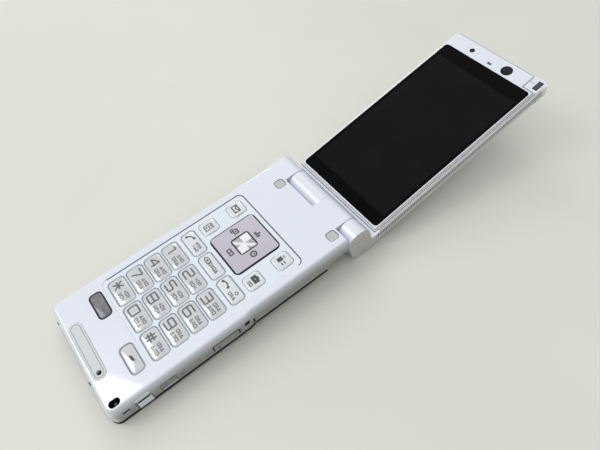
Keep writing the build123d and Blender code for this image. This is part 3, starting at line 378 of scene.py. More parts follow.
textured("bar_silver", (208, 211, 211), (228, 230, 230), BRUSHED, ((900, 3), 0.28, 0.4),
         (BRUSHED, 0.08, 0.01), Metallic=0.8)
textured("screen_dark", (30, 32, 32), (38, 40, 39), (4000, 1), ((120, 3), 0.16, 0.24),
         Coat_Weight=0.4, Coat_Roughness=0.15)
textured("device_black", (12, 12, 14), (24, 24, 27), (2200, 4), ((1500, 3), 0.4, 0.6),
         ((4500, 3), 0.15, 0.02), Specular_IOR_Level=0.2)
textured("lens_black", (6, 6, 9), (13, 13, 18), (400, 3), ((300, 3), 0.04, 0.1),
         Specular_IOR_Level=0.2, Coat_Weight=0.1, Coat_Roughness=0.03)
textured("dome_film", (226, 224, 212), (236, 234, 224), (500, 3), ((800, 3), 0.35, 0.5),
         ((2500,), 0.08, 0.02), Transmission_Weight=0.15)
textured("battery_dark", (104, 107, 112), (118, 121, 126), (1400, 4), ((600, 3), 0.42, 0.56),
         ((3500, 3), 0.12, 0.02))
textured("floor_grey", (216, 217, 207), (221, 222, 212), (9, 4), ((30, 3), 0.55, 0.65),
         ((1400, 3), 0.04, 0.05))

# Nodes whose look departs from the rest of their slot.
OWN_FINISH = {"lid_bumpers": "bumper_grey", "pivot_cap": "dark_chrome", "select_key": "quartered",
              "strap_post": "dark_chrome", "charging_terminals": "terminal_grey",
              "hinge_frame": "pearl_shaded_sides", "side_key": "keypad_white",
              "connector_cover": "cover_grey"}
for name in ("base_top_cover", "base_bottom_cover", "battery_cover"):
    OWN_FINISH[name] = "pearl_silver_shaded_sides"
for name in ("call_key", "clear_key", "end_key", "function_key_upper_left",
             "function_key_upper_right", "function_key_lower_left", "function_key_lower_right"):
    OWN_FINISH[name] = "key_pale"

for part in frame["record"]["subparts"]:
    node = frame["nodes"][part["node"]]
    node.data.materials.clear()
    node.data.materials.append(FINISHES[OWN_FINISH.get(part["node"], part["material_slot"])])


# ---------------------------------------------------------------- mesh code

def made(name, mesh, finish):
    """Turns mesh code into an object."""
    data = bpy.data.meshes.new(name)
    mesh.to_mesh(data)
    mesh.free()
    data.materials.append(FINISHES[finish])
    item = bpy.data.objects.new(name, data)
    bpy.context.scene.collection.objects.link(item)
    return item


def piece(name, mesh, body, finish):
    """Turns mesh code into an object that rides on a body."""
    bmesh.ops.recalc_face_normals(mesh, faces=mesh.faces)
    item = made(name, mesh, finish)
    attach(item, body)


def vertex(mesh, point):
    return mesh.verts.new(Vector(point) * MM)


def strip(mesh, rings, closed):
    """Faces between neighbouring rings of vertices; an open strip gets end faces."""
    count = len(rings)
    size = len(rings[0])
    for index in range(count if closed else count - 1):
        ring = rings[index]
        following = rings[(index + 1) % count]
        for side in range(size):
            other = (side + 1) % size
            mesh.faces.new((ring[side], ring[other], following[other], following[side]))
    if not closed:
        mesh.faces.new(rings[0])
        mesh.faces.new(rings[-1])


def resample(points, closed):
    """Points along a line, no further apart than a step."""
    result = []
    count = len(points)
    for index in range(count if closed else count - 1):
        start = Vector(points[index])
        end = Vector(points[(index + 1) % count])
        parts = max(1, math.ceil((end - start).length / STEP))
        result += [start.lerp(end, part / parts) for part in range(parts)]
    if not closed:
        result.append(Vector(points[-1]))
    return result


def rounded(points, radius, closed=False):
    """The line with its corners turned into short curves."""
    result = []
    count = len(points)
    for index, point in enumerate(points):
        here = Vector(point)
        if not closed and index in (0, count - 1):
            result.append(here)
            continue
        before = Vector(points[index - 1])
        after = Vector(points[(index + 1) % count])
        start = here + (before - here).normalized() * min(radius, (before - here).length / 2)
        end = here + (after - here).normalized() * min(radius, (after - here).length / 2)
        for share in (0, 0.25, 0.5, 0.75, 1):
            result.append(start.lerp(here, share).lerp(here.lerp(end, share), share))
    return result


def across(line, index, closed):
    """Sideways direction at a point of a line, lengthened at a bend."""
    count = len(line)
    before = line[index - 1] if closed or index else line[index]
    after = line[(index + 1) % count] if closed or index < count - 1 else line[index]
    first = (line[index] - before).normalized()
    second = (after - line[index]).normalized()
    along = (first + second).normalized()
    bend = max(BEND_LIMIT, along.dot(second if second.length else first))
    return Vector((-along.y, along.x)) / bend


def stroke(mesh, points, width, closed, surface, lift):
    """A low raised line that follows the surface under it."""
    line = resample(points, closed)
    rings = []
    for index, point in enumerate(line):
        side = across(line, index, closed) * width / 2
        left = point + side
        right = point - side
        low_left = surface(left.x, left.y) - INK_LIFT
        low_right = surface(right.x, right.y) - INK_LIFT
        rings.append([vertex(mesh, (left.x, left.y, low_left)),
                      vertex(mesh, (left.x, left.y, low_left + INK_LIFT + lift)),
                      vertex(mesh, (right.x, right.y, low_right + INK_LIFT + lift)),
                      vertex(mesh, (right.x, right.y, low_right))])
    strip(mesh, rings, closed)


def revolve(mesh, profile, matrix, count=40):
    """A turned form from (radius, height) pairs, round the matrix's own Z."""
    rings = []
    for step in range(count):
        angle = 2 * math.pi * step / count
        ring = []
        for radius, height in profile:
            point = Vector((radius * math.cos(angle), radius * math.sin(angle), height))
            ring.append(vertex(mesh, matrix @ point))
        rings.append(ring)
    size = len(profile)
    for index in range(count):
        ring = rings[index]
        following = rings[(index + 1) % count]
        for row in range(size - 1):
            above = row + 1
            mesh.faces.new((ring[row], following[row], following[above], ring[above]))
    mesh.faces.new([ring[0] for ring in rings])
    mesh.faces.new([ring[-1] for ring in rings])


# ---------------------------------------------------------------- marks on the keys

def middle(node):
    """Centre of a key's outline and the height of its top."""
    low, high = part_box(node)
    return Vector(((low.x + high.x) / 2, (low.y + high.y) / 2)) / MM, high.z / MM


def crown(node):
    """Height of a key's pillow top."""
    centre, top = middle(node)

    def height(x, y):
        reach = KEY_BOW_R - KEY_CROWN_R + math.sqrt(KEY_CROWN_R ** 2 - (y - centre.y) ** 2)
        return top - KEY_BOW_R + math.sqrt(reach ** 2 - (x - centre.x) ** 2)

    return height


# Each printed line lies a little over the one before, so that none share a surface.
LAYER = 0.001


def marks(name, node, lines, finish, surface=None):
    """Printed lines on a key: each line is (points from the key's centre, width, closed)."""
    centre, _ = middle(node)
    mesh = bmesh.new()
    for index, (points, width, closed) in enumerate(lines):
        moved = [centre + Vector(point) for point in points]
        stroke(mesh, moved, width, closed, surface or crown(node), INK_LIFT + LAYER * index)
    piece(name, mesh, node, finish)


# Figures in a unit square: their size, their place on the key, line width and corner radius.
DIGIT_SIZE = 3.6
DIGIT_X = -2.6
DIGIT_WIDTH = 0.6
DIGIT_ROUND = 0.16
DIGITS = {
    "1": [([(0.16, 0.94), (0.6, 1), (0.6, 0)], False)],
    "2": [([(0, 1), (1, 1), (1, 0.5), (0, 0.5), (0, 0), (1, 0)], False)],
    "3": [([(0, 1), (1, 1), (1, 0), (0, 0)], False), ([(0.2, 0.5), (1, 0.5)], False)],
    "4": [([(0.82, 0), (0.82, 1), (0, 0.36), (1, 0.36)], False)],
    "5": [([(1, 1), (0, 1), (0, 0.55), (1, 0.55), (1, 0), (0, 0)], False)],
    "6": [([(1, 1), (0, 1), (0, 0), (1, 0), (1, 0.55), (0, 0.55)], False)],
    "7": [([(0, 1), (1, 1), (0.4, 0)], False)],
    "8": [([(0, 0), (1, 0), (1, 1), (0, 1)], True), ([(0, 0.5), (1, 0.5)], False)],
    "9": [([(1, 0.45), (0, 0.45), (0, 1), (1, 1), (1, 0), (0, 0)], False)],
    "0": [([(0, 0), (1, 0), (1, 1), (0, 1)], True)],
    "star": [([(0, 0.5), (1, 0.5)], False), ([(0.14, 0), (0.86, 1)], False),
             ([(0.14, 1), (0.86, 0)], False)],
    "hash": [([(0.25, 0), (0.4, 1)], False), ([(0.62, 0), (0.77, 1)], False),
             ([(0, 0.66), (1, 0.66)], False), ([(0, 0.33), (1, 0.33)], False)],
}


def digit_lines(shapes):
    lines = []
    for points, closed in shapes:
        sized = [(DIGIT_X + (x - 0.5) * DIGIT_SIZE, (y - 0.5) * DIGIT_SIZE) for x, y in points]
        lines.append((rounded(sized, DIGIT_ROUND * DIGIT_SIZE, closed), DIGIT_WIDTH, closed))
    return lines


# Plain signs that stand where small print would be, drawn in a unit square.
SIGNS = {
    "box": [([(0, 0), (1, 0), (1, 1), (0, 1)], True)],
    "tip": [([(0, 0), (1, 0), (0.5, 1)], True)],
    "cross": [([(0, 0.5), (1, 0.5)], False), ([(0.5, 0), (0.5, 1)], False)],
    "bars": [([(0, 0.08), (1, 0.08)], False), ([(0, 0.5), (1, 0.5)], False),
             ([(0, 0.92), (1, 0.92)], False)],
}


def signs(names, x, y, width, height, gap=0.34, line=0.3):
    """A row of plain signs, centred on a place."""
    lines = []
    left = x - (len(names) * width + (len(names) - 1) * gap) / 2
    for index, name in enumerate(names):
        corner = left + index * (width + gap)
        for points, closed in SIGNS[name]:
            sized = [(corner + u * width, y + (v - 0.5) * height) for u, v in points]
            lines.append((sized, line, closed))
    return lines


def arc(x, y, radius, start, end, count=12):
    """Points along an arc between two angles in degrees."""
    result = []
    for step in range(count + 1):
        angle = math.radians(start + (end - start) * step / count)
        result.append((x + radius * math.cos(angle), y + radius * math.sin(angle)))
    return result


def rectangle(x, y, width, height):
    return [(x - width / 2, y - height / 2), (x + width / 2, y - height / 2),
            (x + width / 2, y + height / 2), (x - width / 2, y + height / 2)]


# A handset's line widths, and how far its lumps reach beyond the grip's end and back.
GRIP_WIDTH = 0.5
LUMP_WIDTH = 0.95
LUMP_BEYOND = 0.4
LUMP_BACK = 0.5


def handset(points):
    """A telephone handset: a bowed grip with a thicker lump at each end."""
    lines = [(points, GRIP_WIDTH, False)]
    for end, neighbour in ((points[0], points[1]), (points[-1], points[-2])):
        tip = Vector(end)
        outward = (tip - Vector(neighbour)).normalized()
        lump = [tip + outward * LUMP_BEYOND, tip - outward * LUMP_BACK]
        lines.append((lump, LUMP_WIDTH, False))
    return lines


SIGN_ROWS = [("box", "bars", "tip"), ("bars", "box", "cross"), ("tip", "bars", "box")]
for index, (digit, shapes) in enumerate(DIGITS.items()):
    key = "key_" + digit
    marks(key + "_figure", key, digit_lines(shapes), "ink_dark")
    row = SIGN_ROWS[index % len(SIGN_ROWS)]
    small = signs(row[::-1], 2.7, 1.0, 0.9, 1.05) + signs(row, 2.5, -1.1, 1.0, 1.15)
    marks(key + "_small_marks", key, small, "ink_pale")

CALL_GRIP = [(-4.1, -0.9), (-3.8, -0.1), (-3.2, 0.6), (-2.4, 1.1), (-1.5, 1.3)]
END_GRIP = [(-4.7, -0.2), (-3.9, 0.3), (-2.9, 0.5), (-1.9, 0.3), (-1.1, -0.2)]
marks("call_key_handset", "call_key", handset(CALL_GRIP), "ink_black")
call_signs = signs(("bars", "box", "bars"), 2.4, 0.85, 0.9, 0.9)
call_signs += signs(("cross", "tip", "box"), 2.6, -0.75, 0.8, 0.9)
marks("call_key_small_marks", "call_key", call_signs, "ink_pale")
marks("end_key_handset", "end_key", handset(END_GRIP), "ink_black")
power_ring = [(arc(2.8, 0.95, 0.6, 130, 410), 0.32, False),
              ([(2.8, 0.95), (2.8, 1.75)], 0.32, False)]
end_signs = power_ring + signs(("box", "bars", "tip"), 2.5, -0.95, 0.9, 1.0)
marks("end_key_small_marks", "end_key", end_signs, "ink_pale")
erase = [([(-4.6, 0), (-3.7, 0.8), (-1.5, 0.8), (-1.5, -0.8), (-3.7, -0.8)], 0.4, True),
         ([(-3.3, 0.35), (-2.3, -0.35)], 0.36, False), ([(-3.3, -0.35), (-2.3, 0.35)], 0.36, False)]
clear_signs = erase + signs(("box", "bars", "box", "tip"), 1.4, 0, 0.95, 1.15, 0.4, 0.34)
marks("clear_key_pictogram", "clear_key", clear_signs, "ink_dark")

envelope = [(rectangle(0, -0.1, 3.3, 2.2), 0.5, True),
            ([(-1.6, 0.95), (0, -0.25), (1.6, 0.95)], 0.46, False)]
marks("function_upper_left_envelope", "function_key_upper_left", envelope, "ink_black")
page = [(rectangle(0.2, -0.2, 2.4, 3.4), 0.4, True), ([(-0.5, 0.9), (0.9, 0.9)], 0.5, False),
        ([(-0.5, -0.1), (0.9, -0.1)], 0.5, False), ([(-0.5, -1.1), (0.5, -1.1)], 0.5, False)]
marks("function_lower_left_page", "function_key_lower_left", page, "ink_dark")
listing = [(rectangle(-0.8, -0.4, 0.9, 1.3), 0.9, True), ([(-1.4, 1.5), (-0.2, 1.5)], 0.45, False),
           ([(0.7, 0.2), (2.0, 0.2)], 0.45, False), ([(0.7, -0.9), (2.0, -0.9)], 0.45, False)]
marks("function_upper_right_listing", "function_key_upper_right", listing, "ink_black")
camera_mark = [(rectangle(0, 0.7, 2.4, 1.3), 1.0, True), (arc(0, 0.7, 0.45, 0, 330), 0.4, True),
               ([(-0.6, 2.0), (0.6, 2.0)], 0.45, False)]
marks("function_lower_right_camera", "function_key_lower_right",
      camera_mark + signs(("bars", "box"), 0.2, -1.75, 0.9, 1.1), "ink_black")
leaf = [([(-1.4, -0.25), (1.5, 0.45)], 0.5, False), ([(-0.8, 0.0), (1.1, 0.2)], 0.95, False)]
marks("lower_right_mark", "lower_right_key", leaf, "ink_black")

# The navigation pad's half widths at its opening and its edge, and the fall of its facets.
RING_INNER = 3.8
RING_OUTER = 9.8
RING_FACET = 0.2


def ring_surface(x, y):
    """Height of the pad's shallow facets."""
    reach = max(abs(x), abs(y - NAV_Y))
    share = (reach - RING_INNER) / (RING_OUTER - RING_INNER)
    return middle("navigation_ring")[1] - RING_FACET * share


bars = [([(-1.0, 5.1), (-1.0, 6.2)], 0.8, False), ([(0, 5.1), (0, 7.3)], 0.75, False),
        ([(1.0, 5.1), (1.0, 6.5)], 0.8, False)]
marks("ring_upper_mark", "navigation_ring", bars, "ink_black", ring_surface)
book = [([(-1.4, -5.7), (-1.4, -7.1), (1.4, -7.1), (1.4, -5.7)], 0.52, True),
        ([(0, -5.7), (0, -7.1)], 0.5, False)]
marks("ring_lower_mark", "navigation_ring", book, "ink_black", ring_surface)
cards = [(rectangle(-6.5, 0.35, 2.0, 1.7), 0.52, True),
         ([(-8.3, 0.2), (-8.3, -1.15), (-6.6, -1.15)], 0.5, False),
         ([(-6.9, 0.35), (-6.1, 0.35)], 0.5, False)]
marks("ring_left_mark", "navigation_ring", cards, "ink_black", ring_surface)
clock = [(arc(6.3, 0, 1.15, 0, 330), 0.55, True),
         ([(6.3, 0.6), (6.3, 0), (6.8, 0)], 0.45, False)]
marks("ring_right_mark", "navigation_ring", clock, "ink_black", ring_surface)


# ---------------------------------------------------------------- small fittings

# Where lines are drawn before they are put in place: on the right wall and the front wall
# (along and up them), on the lid's front and on the hinge's right end.
RIGHT_WALL = Matrix(((0, 0, 1, RIGHT_X * MM), (1, 0, 0, 0), (0, 1, 0, 0), (0, 0, 0, 1)))
FRONT_WALL = Matrix(((1, 0, 0, 0), (0, 0, -1, FRONT_Y * MM), (0, 1, 0, 0), (0, 0, 0, 1)))
LID_FACE = Matrix.Translation(LID.translation * MM) @ LID.to_3x3().to_4x4()
ACROSS_BASE = Matrix.Rotation(math.pi / 2, 4, "Y")
HINGE_END = Matrix.Translation(Vector((RIGHT_X, AXIS_Y, AXIS_Z)) * MM) @ ACROSS_BASE


def level(height):
    """A flat surface at a height."""
    return lambda x, y: height


def drawn(name, body, lines, surface, finish, lift=INK_LIFT, place=Matrix()):
    """Low raised lines, each (points, width, closed), drawn on a surface and put in place."""
    mesh = bmesh.new()
    for points, width, closed in lines:
        stroke(mesh, points, width, closed, surface, lift)
    bmesh.ops.transform(mesh, matrix=place, verts=mesh.verts)
    piece(name, mesh, body, finish)


# The slim bar's edge as (across, behind the lid's front) with its outward directions,
# and a rib's section as (along, outward).
BAR_EDGE = ((24.0, 0), (24.65, 0), (24.9, 0.1), (25.0, 0.35), (25.0, 2.8))
BAR_OUTWARD = ((0, 1), (0, 1), (0.7, 0.7), (1, 0), (1, 0))
# Span along the bar of the grey sheet under the ribs, painted shade in their grooves.
BAR_GROOVE_SHADE_SPAN = (9.4, 99.8)
RIB_SECTION = ((-0.2, -0.03), (-0.1, 0.05), (0.1, 0.05), (0.2, -0.03))
RIB_START = 9.8
RIB_PITCH = 0.8
RIB_COUNT = 113


def bar_vertex(mesh, step, along, height):
    """A vertex over one point of the bar's edge."""
    (u, behind), (out_u, out_w) = BAR_EDGE[step], BAR_OUTWARD[step]
    place = Vector((u + out_u * height, along, LID_FRONT - behind + out_w * height))
    return vertex(mesh, LID @ place)


def bar_ribs():
    """Fine ribs across the front edge and outer face of the slim bar, with grooves in painted
    shade.
    """
    steps = range(len(BAR_EDGE))
    mesh = bmesh.new()
    for rib in range(RIB_COUNT):
        middle_line = RIB_START + rib * RIB_PITCH
        rings = []
        for step in steps:
            rings.append([bar_vertex(mesh, step, middle_line + along, height)
                          for along, height in RIB_SECTION])
        strip(mesh, rings, False)
    piece("side_bar_ribs", mesh, "frame", "bar_silver")
    mesh = bmesh.new()
    ends = [[bar_vertex(mesh, step, along, INK_LIFT) for step in steps] for along in BAR_GROOVE_SHADE_SPAN]
    strip(mesh, ends, False)
    piece("side_bar_groove_shade", mesh, "frame", "groove_painted_shade")


bar_ribs()

# A lens barrel and its glass as (share of the radius, height).
LENS_BARREL = ((1, -0.3), (1, 0.04), (0.94, 0.07), (0.84, 0.06), (0.78, -0.02), (0.6, -0.1),
               (0.55, -0.12))
LENS_GLASS = ((0.62, -0.2), (0.6, -0.05), (0.5, 0.0), (0.36, 0.03), (0.2, 0.045), (0.05, 0.05))
INNER_CAMERA_R = 2.45
LIGHT_SENSOR_R = 1.05
REAR_CAMERA_R = 2.1


def lens(name, body, matrix, radius):
    """A stepped lens barrel with a domed glass in its middle."""
    forms = (("_barrel", LENS_BARREL, "device_black"), ("_glass", LENS_GLASS, "lens_black"))
    for ending, form, finish in forms:
        mesh = bmesh.new()
        revolve(mesh, [(radius * share, height) for share, height in form], matrix)
        piece(name + ending, mesh, body, finish)


def centre_of(node):
    low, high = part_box(node)
    return (low + high) / 2 / MM


def lid_place(node):
    """Lid frame at the middle of a device's front."""
    centre = LID.inverted() @ centre_of(node)
    return LID @ Matrix.Translation((centre.x, centre.y, LID_FRONT))


lens("inner_camera_lens", "display", lid_place("inner_camera"), INNER_CAMERA_R)
lens("light_sensor_lens", "display", lid_place("light_sensor"), LIGHT_SENSOR_R)


def outline(x0, x1, y0, y1, radius, steps=6):
    """Points round a rectangle with round corners."""
    return (arc(x1 - radius, y1 - radius, radius, 0, 90, steps)
            + arc(x0 + radius, y1 - radius, radius, 90, 180, steps)
            + arc(x0 + radius, y0 + radius, radius, 180, 270, steps)
            + arc(x1 - radius, y0 + radius, radius, 270, 360, steps))


def inset_outline(node, inset, radius):
    """Points round a node, inside the edge of its box as seen from above."""
    low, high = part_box(node)
    return outline(low.x / MM + inset, high.x / MM - inset,
                   low.y / MM + inset, high.y / MM - inset, radius)


def rim(name, body, outer, inner, heights, matrix, finish):
    """A flat frame between two outlines with the same number of points."""
    low, high = heights
    mesh = bmesh.new()
    rings = []
    for (x0, y0), (x1, y1) in zip(outer, inner):
        corners = [(x0, y0, low), (x0, y0, high), (x1, y1, high), (x1, y1, low)]
        rings.append([vertex(mesh, matrix @ Vector(corner)) for corner in corners])
    strip(mesh, rings, True)
    piece(name, mesh, body, finish)


# The trim round the display window: left, right, near end, far end and corner radius.
TRIM_OUTER = (-24.6, 22.62, 9.05, 96.05, 1.95)
TRIM_INNER = (-24.0, 22.3, 9.55, 95.75, 1.6)
TRIM_HEIGHTS = (LID_FRONT - 0.02, LID_FRONT + 0.02)
rim("window_trim", "display", outline(*TRIM_OUTER), outline(*TRIM_INNER), TRIM_HEIGHTS, LID,
    "bar_silver")


def gasket(name, body, node, form, gap, heights, finish):
    """A frame round a node's middle; gap is its start and end beyond the form's outline."""
    centre = centre_of(node)
    half_x, half_y, radius = form
    inner, outer = gap
    shapes = []
    for grow in (outer, inner):
        shapes.append(outline(centre.x - half_x - grow, centre.x + half_x + grow,
                              centre.y - half_y - grow, centre.y + half_y + grow, radius + grow))
    low, high = heights
    rim(name, body, *shapes, (BASE_TOP + low, BASE_TOP + high), Matrix(), finish)


# Forms on the base's face: half width, half depth and corner radius.
LOWER_KEY = (5.65, 2.35, 1.4)
STRAP_HOLE = (1.35, 2.05, 1.33)
RING_FORM = (RING_OUTER, RING_OUTER, 1.8)
SELECT_FORM = (RING_INNER, 3.7, 0.9)

gasket("lower_left_surround", "base", "lower_left_key", LOWER_KEY, (0.12, 0.34), (-0.2, 0.02),
       "device_black")
# Painted shade: a dark lining inside the strap hole.
gasket("strap_hole_shade_lining", "base", "strap_post", STRAP_HOLE, (-0.17, -0.01), (-4.4, -0.1),
       "device_black")
# Painted shade: a grey ring round the lower right key, for the shade of its recess.
gasket("lower_right_shade_ring", "base", "lower_right_key", LOWER_KEY, (0.12, 0.5), (-0.2, 0.015),
       "shade_grey")

# The gap round the keypad plate: the plate's hidden flange reaches past the gap's middle.
PLATE_LOW, PLATE_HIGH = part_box("keypad_plate")
FLANGE_PAST_GAP = 0.95
GAP_SIDE = PLATE_HIGH.x / MM - FLANGE_PAST_GAP
GAP_BACK = PLATE_HIGH.y / MM - FLANGE_PAST_GAP
GAP_FRONT = PLATE_LOW.y / MM + FLANGE_PAST_GAP
GAP_BEND = 2.25
TURN_SIDE = GAP_SIDE - GAP_BEND
TURN_BACK = GAP_BACK - GAP_BEND
TURN_FRONT = GAP_FRONT + GAP_BEND


def gap_turn(x, y, start, steps=8):
    """Clockwise quarter turn of the gap round the keypad plate."""
    return arc(x, y, GAP_BEND, start, start - 90, steps)


# Painted shade: a dark line in that gap along the plate's left and back, where its walls show
# shaded.
GROOVE_START = -33.4
GROOVE_WIDTH = 0.44
GROOVE_FLOOR = BASE_TOP - 0.75
GROOVE_HEIGHT = 0.3
groove = [(-GAP_SIDE, GROOVE_START)] + gap_turn(-TURN_SIDE, TURN_BACK, 180)
groove += gap_turn(TURN_SIDE, TURN_BACK, 90)
drawn("plate_groove_shade", "base", [(groove, GROOVE_WIDTH, False)], level(GROOVE_FLOOR),
      "battery_dark", GROOVE_HEIGHT)

# Fine line inside the edge of each lid bumper.
BUMPERS = ((-14.15, 42.05), (19.1, 42.05))
BUMPER_HALF = 2.0
BUMPER_CORNER = 1.0
BUMPER_TOP = BASE_TOP - 0.15
BUMPER_LINE = 0.24
BUMPER_LIFT = 0.02
bumper_lines = []
for x, y in BUMPERS:
    edge = outline(x - BUMPER_HALF, x + BUMPER_HALF, y - BUMPER_HALF, y + BUMPER_HALF,
                   BUMPER_CORNER)
    bumper_lines.append((edge, BUMPER_LINE, True))
drawn("bumper_lines", "base", bumper_lines, level(BUMPER_TOP), "battery_dark", BUMPER_LIFT)

# Painted shade: a soft line round each key through the plate, and one inside the soft pad's edge.
PLATE_KEYS = ["key_" + digit for digit in DIGITS] + ["call_key", "clear_key", "end_key"]
KEY_INSET = 0.15
KEY_CORNER = 1.7
KEY_LINE = 0.26
PAD_INSET = 0.75
PAD_CORNER = 1.6
PAD_LINE = 0.28
surrounds = [(inset_outline(key, KEY_INSET, KEY_CORNER), KEY_LINE, True) for key in PLATE_KEYS]
drawn("key_shade_lines", "base", surrounds, level(PLATE_TOP), "shade_grey", FINE_LIFT)
gasket("ring_groove_line", "base", "navigation_ring", RING_FORM, (0.14, 0.38), (-1.0, -0.45),
       "device_black")
gasket("select_groove_line", "navigation_ring", "navigation_ring", SELECT_FORM, (0.14, 0.28),
       (-0.9, -0.2), "device_black")
pad_line = [(inset_outline("microphone_pad", PAD_INSET, PAD_CORNER), PAD_LINE, True)]
drawn("microphone_pad_line", "base", pad_line, level(middle("microphone_pad")[1]),
      "shade_grey", FINE_LIFT)


def bead(name, body, lines, section, finish):
    """A line along walls from an (outward, up) section, its ends drawn into the wall."""
    sunk = min(reach for reach, _ in section)
    mesh = bmesh.new()
    for points in lines:
        line = [Vector(point) for point in points]
        sides = [across(line, index, False) for index in range(len(line))]
        rings = [[vertex(mesh, (*(line[0] - sides[0] * sunk), height)) for _, height in section]]
        for point, side in zip(line, sides):
            rings.append([vertex(mesh, (*(point - side * reach), height))
                          for reach, height in section])
        rings.append([vertex(mesh, (*(line[-1] - sides[-1] * sunk), height))
                      for _, height in section])
        strip(mesh, rings, False)
    piece(name, mesh, body, finish)


# The base's walls: corner radius, the step in the right wall and the set-back wall behind it.
WALL_CORNER = 3.0
WALL_STEP = (-1.4, 1.2)
SET_BACK_X = 24.5
SEAM_END = 44.0
COVER_ENDS = (1.6, 34.6)

# Sections as (outward, up): the seam, the dark band at the foot, which paints contact shadow,
# and the pale fill in the gap, which paints out the gap's shade.
SEAM_SECTION = ((-0.05, 6.21), (0.012, 6.24), (0.012, 6.36), (-0.05, 6.39))
FOOT_SHADE_SECTION = ((-0.6, 0.05), (0.08, 0.08), (0.2, 0.25), (0.2, 0.7), (0.06, 1.25), (-0.1, 1.4),
                (-0.6, 1.3))
FILL_TOP = PLATE_TOP - 0.05
FILL_FOOT = FILL_TOP - 0.6
FILL_SECTION = ((-0.3, FILL_FOOT), (-0.3, FILL_TOP), (0.3, FILL_TOP), (0.3, FILL_FOOT))


def base_lines():
    """Seam round the base's walls; a dark band of painted shadow at their foot, part of it on the
    cover.
    """
    front_turn = FRONT_Y + WALL_CORNER
    side_turn = RIGHT_X - WALL_CORNER
    walls = arc(-side_turn, front_turn, WALL_CORNER, 180, 270)
    walls += arc(side_turn, front_turn, WALL_CORNER, 270, 360)
    walls += [(RIGHT_X, WALL_STEP[0]), (SET_BACK_X, WALL_STEP[1])]
    seam = [(-RIGHT_X, SEAM_END)] + walls + [(SET_BACK_X, SEAM_END)]
    bead("base_seam_line", "base", [seam], SEAM_SECTION, "battery_dark")
    foot = [(-RIGHT_X, WALL_STEP[1])] + walls
    bead("base_foot_shade", "base", [foot], FOOT_SHADE_SECTION, "device_black")
    near, far = COVER_ENDS
    cover = [[(-RIGHT_X, far), (-RIGHT_X, near)], [(SET_BACK_X, near), (SET_BACK_X, far)]]
    bead("battery_cover_foot_shade", "battery_cover", cover, FOOT_SHADE_SECTION, "device_black")


base_lines()

# Painted light: a pale fill in the gap along the right and front of the keypad plate, hiding its
# shade.
seal = [(GAP_SIDE, TURN_BACK)] + gap_turn(TURN_SIDE, TURN_FRONT, 0)
seal += gap_turn(-TURN_SIDE, TURN_FRONT, -90)
bead("plate_groove_pale_fill", "base", [seal], FILL_SECTION, "soft_white")


def hoop(start, end, foot, top, radius):
    """A line up, over and down again on a wall."""
    return rounded([(start, foot), (start, top), (end, top), (end, foot)], radius)


# The side key's face: height of its foot, how far that stands out, and the slant.
SIDE_KEY_FOOT = 2.07
SIDE_KEY_OUT = 0.51
SIDE_KEY_SLANT = 0.25


def side_key_face(along, up):
    """The side key's slanted face, measured from the right wall."""
    return SIDE_KEY_OUT - SIDE_KEY_SLANT * (up - SIDE_KEY_FOOT)


# Marks on the right wall, each (points along and up it, width, closed).
WALL_GAPS = [(hoop(-46.4, -40.6, 1.6, 6.0, 0.5), 0.45, False),
             (hoop(-37.2, -30.95, 1.7, 6.0, 0.5), 0.42, False),
             ([(-29.8, 3.6), (-27.4, 3.6)], 1.1, False)]
WALL_SLOTS = [([(-21.8, 2.6), (-21.8, 4.3)], 0.35, False),
              ([(-19.0, 3.0), (-19.0, 4.0)], 0.5, False)]
STEP_SLOT = [([(1.2, 1.7), (1.2, 4.2)], 0.8, False)]
# Painted shade: a dark lining inside the strap's exit in the wall.
STRAP_EXIT_SHADE = [([(-51.4, 5.1), (-48.7, 5.1)], 2.2, False)]
# Dark band along the side key's top: partly the gap over the key, partly painted shadow of the lip.
KEY_LIP_SHADOW = [([(-45.75, 5.0), (-41.15, 5.0)], 0.9, False)]
COVER_EDGE = [(hoop(-16.1, -5.3, 2.1, 5.55, 0.8), 0.45, False),
              ([(-14.3, 2.9), (-13.7, 2.9)], 0.8, False)]
for name, body, lines, finish, surface, lift in (
        ("wall_gaps", "base", WALL_GAPS, "battery_dark", level(0), INK_LIFT),
        ("wall_slots", "base", WALL_SLOTS, "battery_dark", level(0), INK_LIFT),
        ("wall_step_slot", "base", STEP_SLOT, "device_black", level(-0.5), 0.1),
        ("strap_exit_shade_lining", "base", STRAP_EXIT_SHADE, "device_black", level(-0.4), INK_LIFT),
        ("side_key_lip_shadow", "side_key", KEY_LIP_SHADOW, "device_black", side_key_face, INK_LIFT),
        ("connector_cover_edge", "connector_cover", COVER_EDGE, "device_black", level(-0.05),
         INK_LIFT)):
    drawn(name, body, lines, surface, finish, lift, RIGHT_WALL)

# Painted shade: a dark dished cap over the small round hole in the right wall.
# Small round hole in the right wall, as (radius, outward), and its place along and up the wall.
HOLE_PROFILE = [(1.15, -0.5), (1.15, 0.03), (1.05, 0.06), (0.85, 0.04), (0.5, 0.05), (0.1, 0.05)]
HOLE_PLACE = (-1.7, 5.3)
hole_mesh = bmesh.new()
revolve(hole_mesh, HOLE_PROFILE, Matrix.Translation((RIGHT_X, *HOLE_PLACE)) @ ACROSS_BASE)
piece("wall_hole_shade_cap", hole_mesh, "base", "device_black")

# Two small notches in the seam of the base's front wall.
NOTCHES = [([(8.5, 6.4), (9.9, 6.4)], 1.1, False), ([(-20.0, 6.25), (-18.7, 6.25)], 1.1, False)]
drawn("front_notches", "base", NOTCHES, level(0), "device_black", place=FRONT_WALL)

# The lip's section as (outward, up), and its fullness at places along the right wall.
LIP_SECTION = ((0.0, 6.35), (0.25, 6.45), (0.22, 6.8), (0.0, 8.9))
LIP_SHARES = ((-46.2, 0.1), (-45.7, 0.8), (-45.0, 1.0), (-41.8, 1.0), (-41.1, 0.8), (-40.6, 0.1))
LIP_SUNK = 0.05


